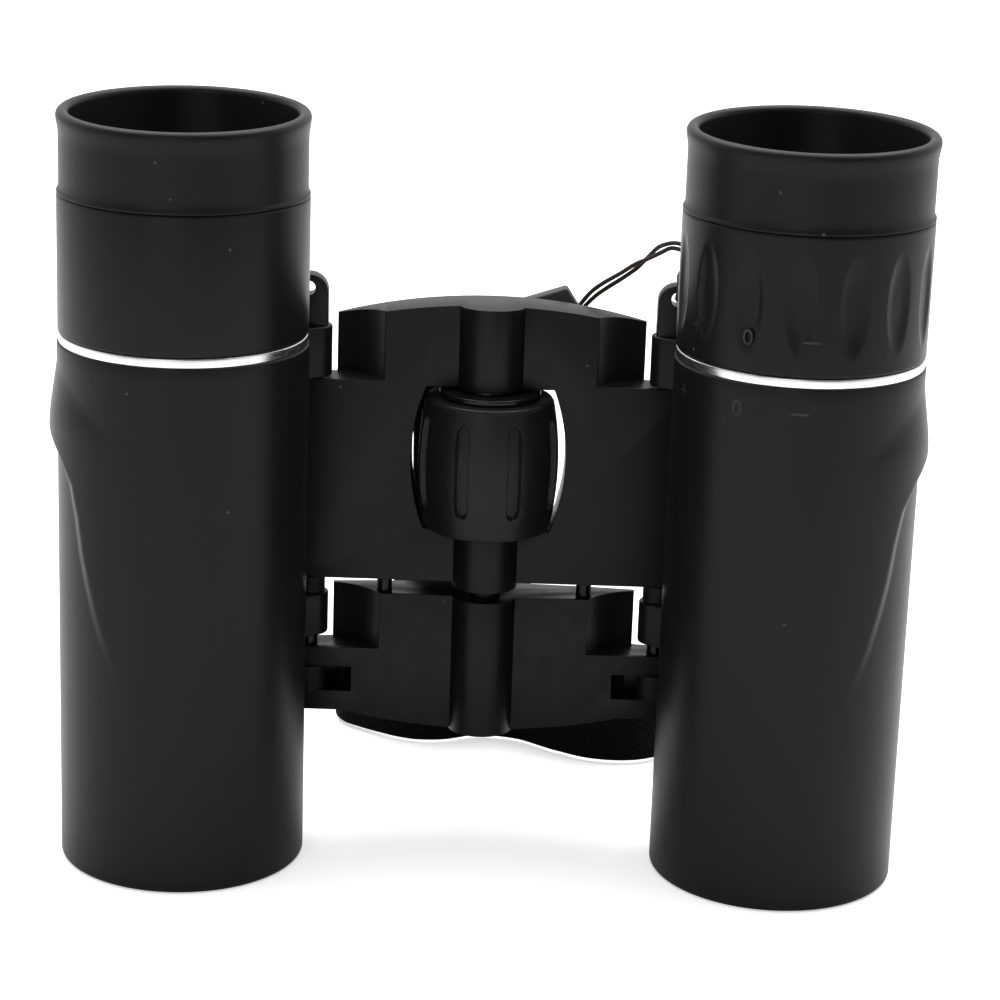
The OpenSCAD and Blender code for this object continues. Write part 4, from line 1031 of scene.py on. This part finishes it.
def make_bridge(node, radius, finish):
    """A bridge with its moulded edges rounded."""
    piece = softened(node + "_body", node, radius, 3)
    if node == "lower_bridge":
        # thin walls that close the collar slots at the back
        for side in SIDES:
            hinge, out = HINGE[side], OUTWARD[side]
            inner, outer = sorted((hinge.x - out * 7.2 * MM, hinge.x - out * 0.4 * MM))
            back = hinge.y + 2.68 * MM
            rear = back + 0.5 * MM
            plan = [Vector(p) for p in ((inner, back), (outer, back), (outer, rear), (inner, rear))]
            combined(piece, upright_prism("Slot wall", plan, *COLLAR_SLOT), "UNION", 35)
    fitted(piece, body_with(node), "black_plastic", finish["bridge"], node)


def make_wheel(finish):
    """The grooved rubber of the focusing wheel, a little barrel-shaped, and its hub."""
    look = bpy.context.scene.bino_focus
    low, high = (corner.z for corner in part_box("wheel_grip"))
    half, centre = (high - low) / 2, (high + low) / 2
    reach, taper, edge, bore, steps = 10 * MM, 1.0 * MM, 0.5 * MM, 5.53 * MM, 90
    curve = (half ** 2 + taper ** 2) / (2 * taper)

    def side(z):
        return reach - curve + math.sqrt(curve ** 2 - (z - centre) ** 2)

    bottom, top = side(low) - edge, side(high) - edge
    heights = [low + edge + (2 * half - 2 * edge) * k / steps for k in range(steps + 1)]
    outline = [(bore, low), *arc_points((bottom, low + edge), edge, -math.pi / 2, 0, 5)[:-1]]
    outline += [(side(z), z) for z in heights]
    outline += [*arc_points((top, high - edge), edge, 0, math.pi / 2, 5)[1:], (bore, high)]
    grip = turned("wheel_rubber", outline, WHEEL, full_turn(640), 24)
    with_tree(grip, recess_tree(), 24, centre=(WHEEL.x, WHEEL.y, 0.0), outer_radius=bottom - 0.5 * MM,
              count=float(look.groove_count), first_angle=math.radians(-67.5),
              middle_height=centre + 0.5 * MM, width=look.groove_width, length=look.groove_length,
              depth=look.groove_depth, end_shape=12.0, floor_share=0.55, material=finish["wheel"])
    fitted(grip, body_with("wheel_grip"), "wheel_rubber", finish["wheel"], "wheel_grip")
    hub = softened("wheel_core", "wheel_hub", 0.15 * MM, 2)
    fitted(hub, body_with("wheel_hub"), "wheel_core", finish["hub"], "wheel_hub")


def make_plate(finish):
    piece = softened("back_plate", "bridge_plate", 0.12 * MM, 2)
    fitted(piece, body_with("bridge_plate"), "black_metal", finish["black_metal"], "bridge_plate")


# ---- Stage ----

def camera_axes(stage):
    """The camera's directions right, up and back."""
    flat = math.cos(stage.elevation)
    back = Vector((math.sin(stage.azimuth) * flat, -math.cos(stage.azimuth) * flat,
                   math.sin(stage.elevation)))
    right = Vector((0, 0, 1)).cross(back).normalized()
    up = back.cross(right)
    cos_roll, sin_roll = math.cos(stage.roll), math.sin(stage.roll)
    return right * cos_roll + up * sin_roll, up * cos_roll - right * sin_roll, back


def make_camera():
    stage = bpy.context.scene.bino_stage
    right, up, back = camera_axes(stage)
    target = Vector((1.78 * MM, BARRELS_Y * MM, 53.23 * MM))
    camera = linked("Camera", bpy.data.cameras.new("Camera"))
    camera.data.lens = stage.focal_length
    camera.data.sensor_width = 36
    camera.data.clip_start = 0.01
    camera.data.clip_end = 20
    matrix = Matrix((right, up, back)).transposed().to_4x4()
    matrix.translation = target + back * stage.distance
    camera.matrix_world = matrix
    bpy.context.scene.camera = camera


def make_world():
    """White to the camera; to the object bright behind and above, dark in front."""
    world = bpy.data.worlds.new("Studio")
    bpy.context.scene.world = world
    world.use_nodes = True
    world.node_tree.nodes.clear()
    net = Nodes(world.node_tree)
    way = net.split(net.add("ShaderNodeTexCoord").outputs["Generated"])
    behind = net.ramp(way[1], -0.15, 0.75)
    sides = net.ramp(net.maths("ABSOLUTE", way[0]), 0.55, 0.95)
    above = net.ramp(way[2], 0.35, 0.9)
    level = 0.055
    for share, brightness in ((behind, 0.95), (sides, 0.62), (above, 0.35)):
        level = net.maths("ADD", level, net.times(share, brightness))
    level = net.maths("MINIMUM", level, 1.15)
    tint = net.add("ShaderNodeCombineXYZ", X=level, Y=level, Z=level).outputs[0]
    seen = net.add("ShaderNodeLightPath").outputs["Is Camera Ray"]
    shader = net.add("ShaderNodeBackground", Color=net.mixed(seen, tint, (1.0, 1.0, 1.0)), Strength=1.0)
    net.plug(shader.outputs[0], net.add("ShaderNodeOutputWorld").inputs[0])


def area_lamp(name, place, target, size, power):
    data = bpy.data.lights.new(name, "AREA")
    data.shape = "RECTANGLE"
    data.size, data.size_y = size
    data.energy = power
    lamp = linked(name, data)
    lamp.location = place
    lamp.rotation_euler = (Vector(target) - Vector(place)).to_track_quat("-Z", "Y").to_euler()


def make_floor():
    size = 3.0
    mesh = bpy.data.meshes.new("Table")
    mesh.from_pydata([(-size, -size, 0), (size, -size, 0), (size, size, 0), (-size, size, 0)], [],
                     [(0, 1, 2, 3)])
    material, shader, net = new_finish("Table White", 0.85, 0.0, 0.0)
    colour = tuple(bpy.context.scene.bino_stage.floor)
    seen = net.add("ShaderNodeLightPath").outputs["Is Camera Ray"]
    net.fill(shader, Base_Color=net.mixed(net.noise(30.0, 2.0), scaled(colour, 0.99), colour),
             Emission_Color=(1, 1, 1, 1), Emission_Strength=net.times(seen, 0.45))
    mesh.materials.append(material)
    linked("Table", mesh)


# ---- Operators ----

class BINO_OT_stage(bpy.types.Operator):
    """Sets up the camera, the white studio and the lamps"""
    bl_idname = "bino.stage"
    bl_label = "Stage"

    def execute(self, context):
        make_camera()
        make_world()
        make_floor()
        area_lamp("Top light", (0.0, 0.25, 0.9), (0.0, 0.0, 0.03), (1.2, 0.9), 14.0)
        area_lamp("Front fill", (-0.25, -0.9, 0.35), (0.0, 0.0, 0.05), (0.5, 0.5), 1.2)
        context.scene.view_settings.view_transform = "Standard"
        return {"FINISHED"}


class BINO_OT_strap(bpy.types.Operator):
    """Builds the wrist cord, the woven band and the leather tab"""
    bl_idname = "bino.strap"
    bl_label = "Wrist strap"

    def execute(self, context):
        finish = finishes()
        make_cord(finish)
        make_band(finish)
        make_tab(finish)
        return {"FINISHED"}


class BINO_OT_casings(bpy.types.Operator):
    """Builds both barrel casings with their lugs and strap eyes"""
    bl_idname = "bino.casings"
    bl_label = "Barrel casings"

    def execute(self, context):
        finish = finishes()
        for side in SIDES:
            make_casing(side, finish)
        return {"FINISHED"}


class BINO_OT_eyepieces(bpy.types.Operator):
    """Builds the trim rings, the housing, the dioptre ring and the eyecups"""
    bl_idname = "bino.eyepieces"
    bl_label = "Eyepieces"

    def execute(self, context):
        finish = finishes()
        for side in SIDES:
            make_trim(side, finish)
            make_eyepiece(side, finish)
            make_eyecup(side, finish)
        return {"FINISHED"}


class BINO_OT_bridges(bpy.types.Operator):
    """Builds the upper and the lower bridge and the plate on the back"""
    bl_idname = "bino.bridges"
    bl_label = "Bridges"

    def execute(self, context):
        finish = finishes()
        radius = context.scene.bino_focus.edge_radius
        make_bridge("upper_bridge", radius, finish)
        make_bridge("lower_bridge", radius / 2, finish)
        make_plate(finish)
        return {"FINISHED"}


class BINO_OT_wheel(bpy.types.Operator):
    """Builds the grooved focusing wheel and its hub"""
    bl_idname = "bino.wheel"
    bl_label = "Focusing wheel"

    def execute(self, context):
        make_wheel(finishes())
        return {"FINISHED"}


def both(*names):
    """The left and the right node of each name."""
    return tuple(side + "_" + name for name in names for side in SIDES)


DRESSED = {
    "steel": ("plate_screws", "wheel_pivot_pin", "wheel_washer", "spindle_screw", *both("prism_clip")),
    "inside": (*both("ocular_sleeve", "ocular_cell", "prism_cage", "objective_cell"), "hinge_spacers"),
    "black_metal": (*both("objective_retainer"), "hinge_rod_left", "hinge_rod_right", "guide_rods",
                    "focus_spindle"),
    "lens": both("eye_lens", "field_lens", "crown_lens", "flint_lens"),
    "prism": both("roof_prism", "half_prism"),
}


class BINO_OT_machined(bpy.types.Operator):
    """Gives the machined parts and the glass their finishes"""
    bl_idname = "bino.machined"
    bl_label = "Machined parts and glass"

    def execute(self, context):
        finish = finishes()
        for key, nodes in DRESSED.items():
            for node in nodes:
                dress(node, finish[key])
        return {"FINISHED"}


class BINO_PT_panel(bpy.types.Panel):
    """Lists the steps and their settings"""
    bl_idname = "BINO_PT_panel"
    bl_label = "Folding Binoculars"
    bl_space_type = "VIEW_3D"
    bl_region_type = "UI"
    bl_category = "Binoculars"

    def draw(self, context):
        for operator, settings in STEPS:
            box = self.layout.box()
            box.operator(operator.bl_idname)
            group = getattr(context.scene, settings)
            for key in group.bl_rna.properties.keys():
                if key not in ("rna_type", "name"):
                    box.prop(group, key)


STEPS = (
    (BINO_OT_stage, "bino_stage"),
    (BINO_OT_strap, "bino_strap"),
    (BINO_OT_casings, "bino_casing"),
    (BINO_OT_eyepieces, "bino_eyepiece"),
    (BINO_OT_bridges, "bino_focus"),
    (BINO_OT_wheel, "bino_focus"),
    (BINO_OT_machined, "bino_finish"),
)


def register():
    for settings in SETTINGS.values():
        bpy.utils.register_class(settings)
    for operator, _ in STEPS:
        bpy.utils.register_class(operator)
    bpy.utils.register_class(BINO_PT_panel)
    for name, settings in SETTINGS.items():
        setattr(bpy.types.Scene, name, PointerProperty(type=settings))


def unregister():
    for name in SETTINGS:
        delattr(bpy.types.Scene, name)
    bpy.utils.unregister_class(BINO_PT_panel)
    for operator, _ in reversed(STEPS):
        bpy.utils.unregister_class(operator)
    for settings in reversed(list(SETTINGS.values())):
        bpy.utils.unregister_class(settings)


def main():
    register()
    for operator, _ in STEPS:
        family, name = operator.bl_idname.split(".")
        getattr(getattr(bpy.ops, family), name)()


if __name__ == "__main__":
    main()
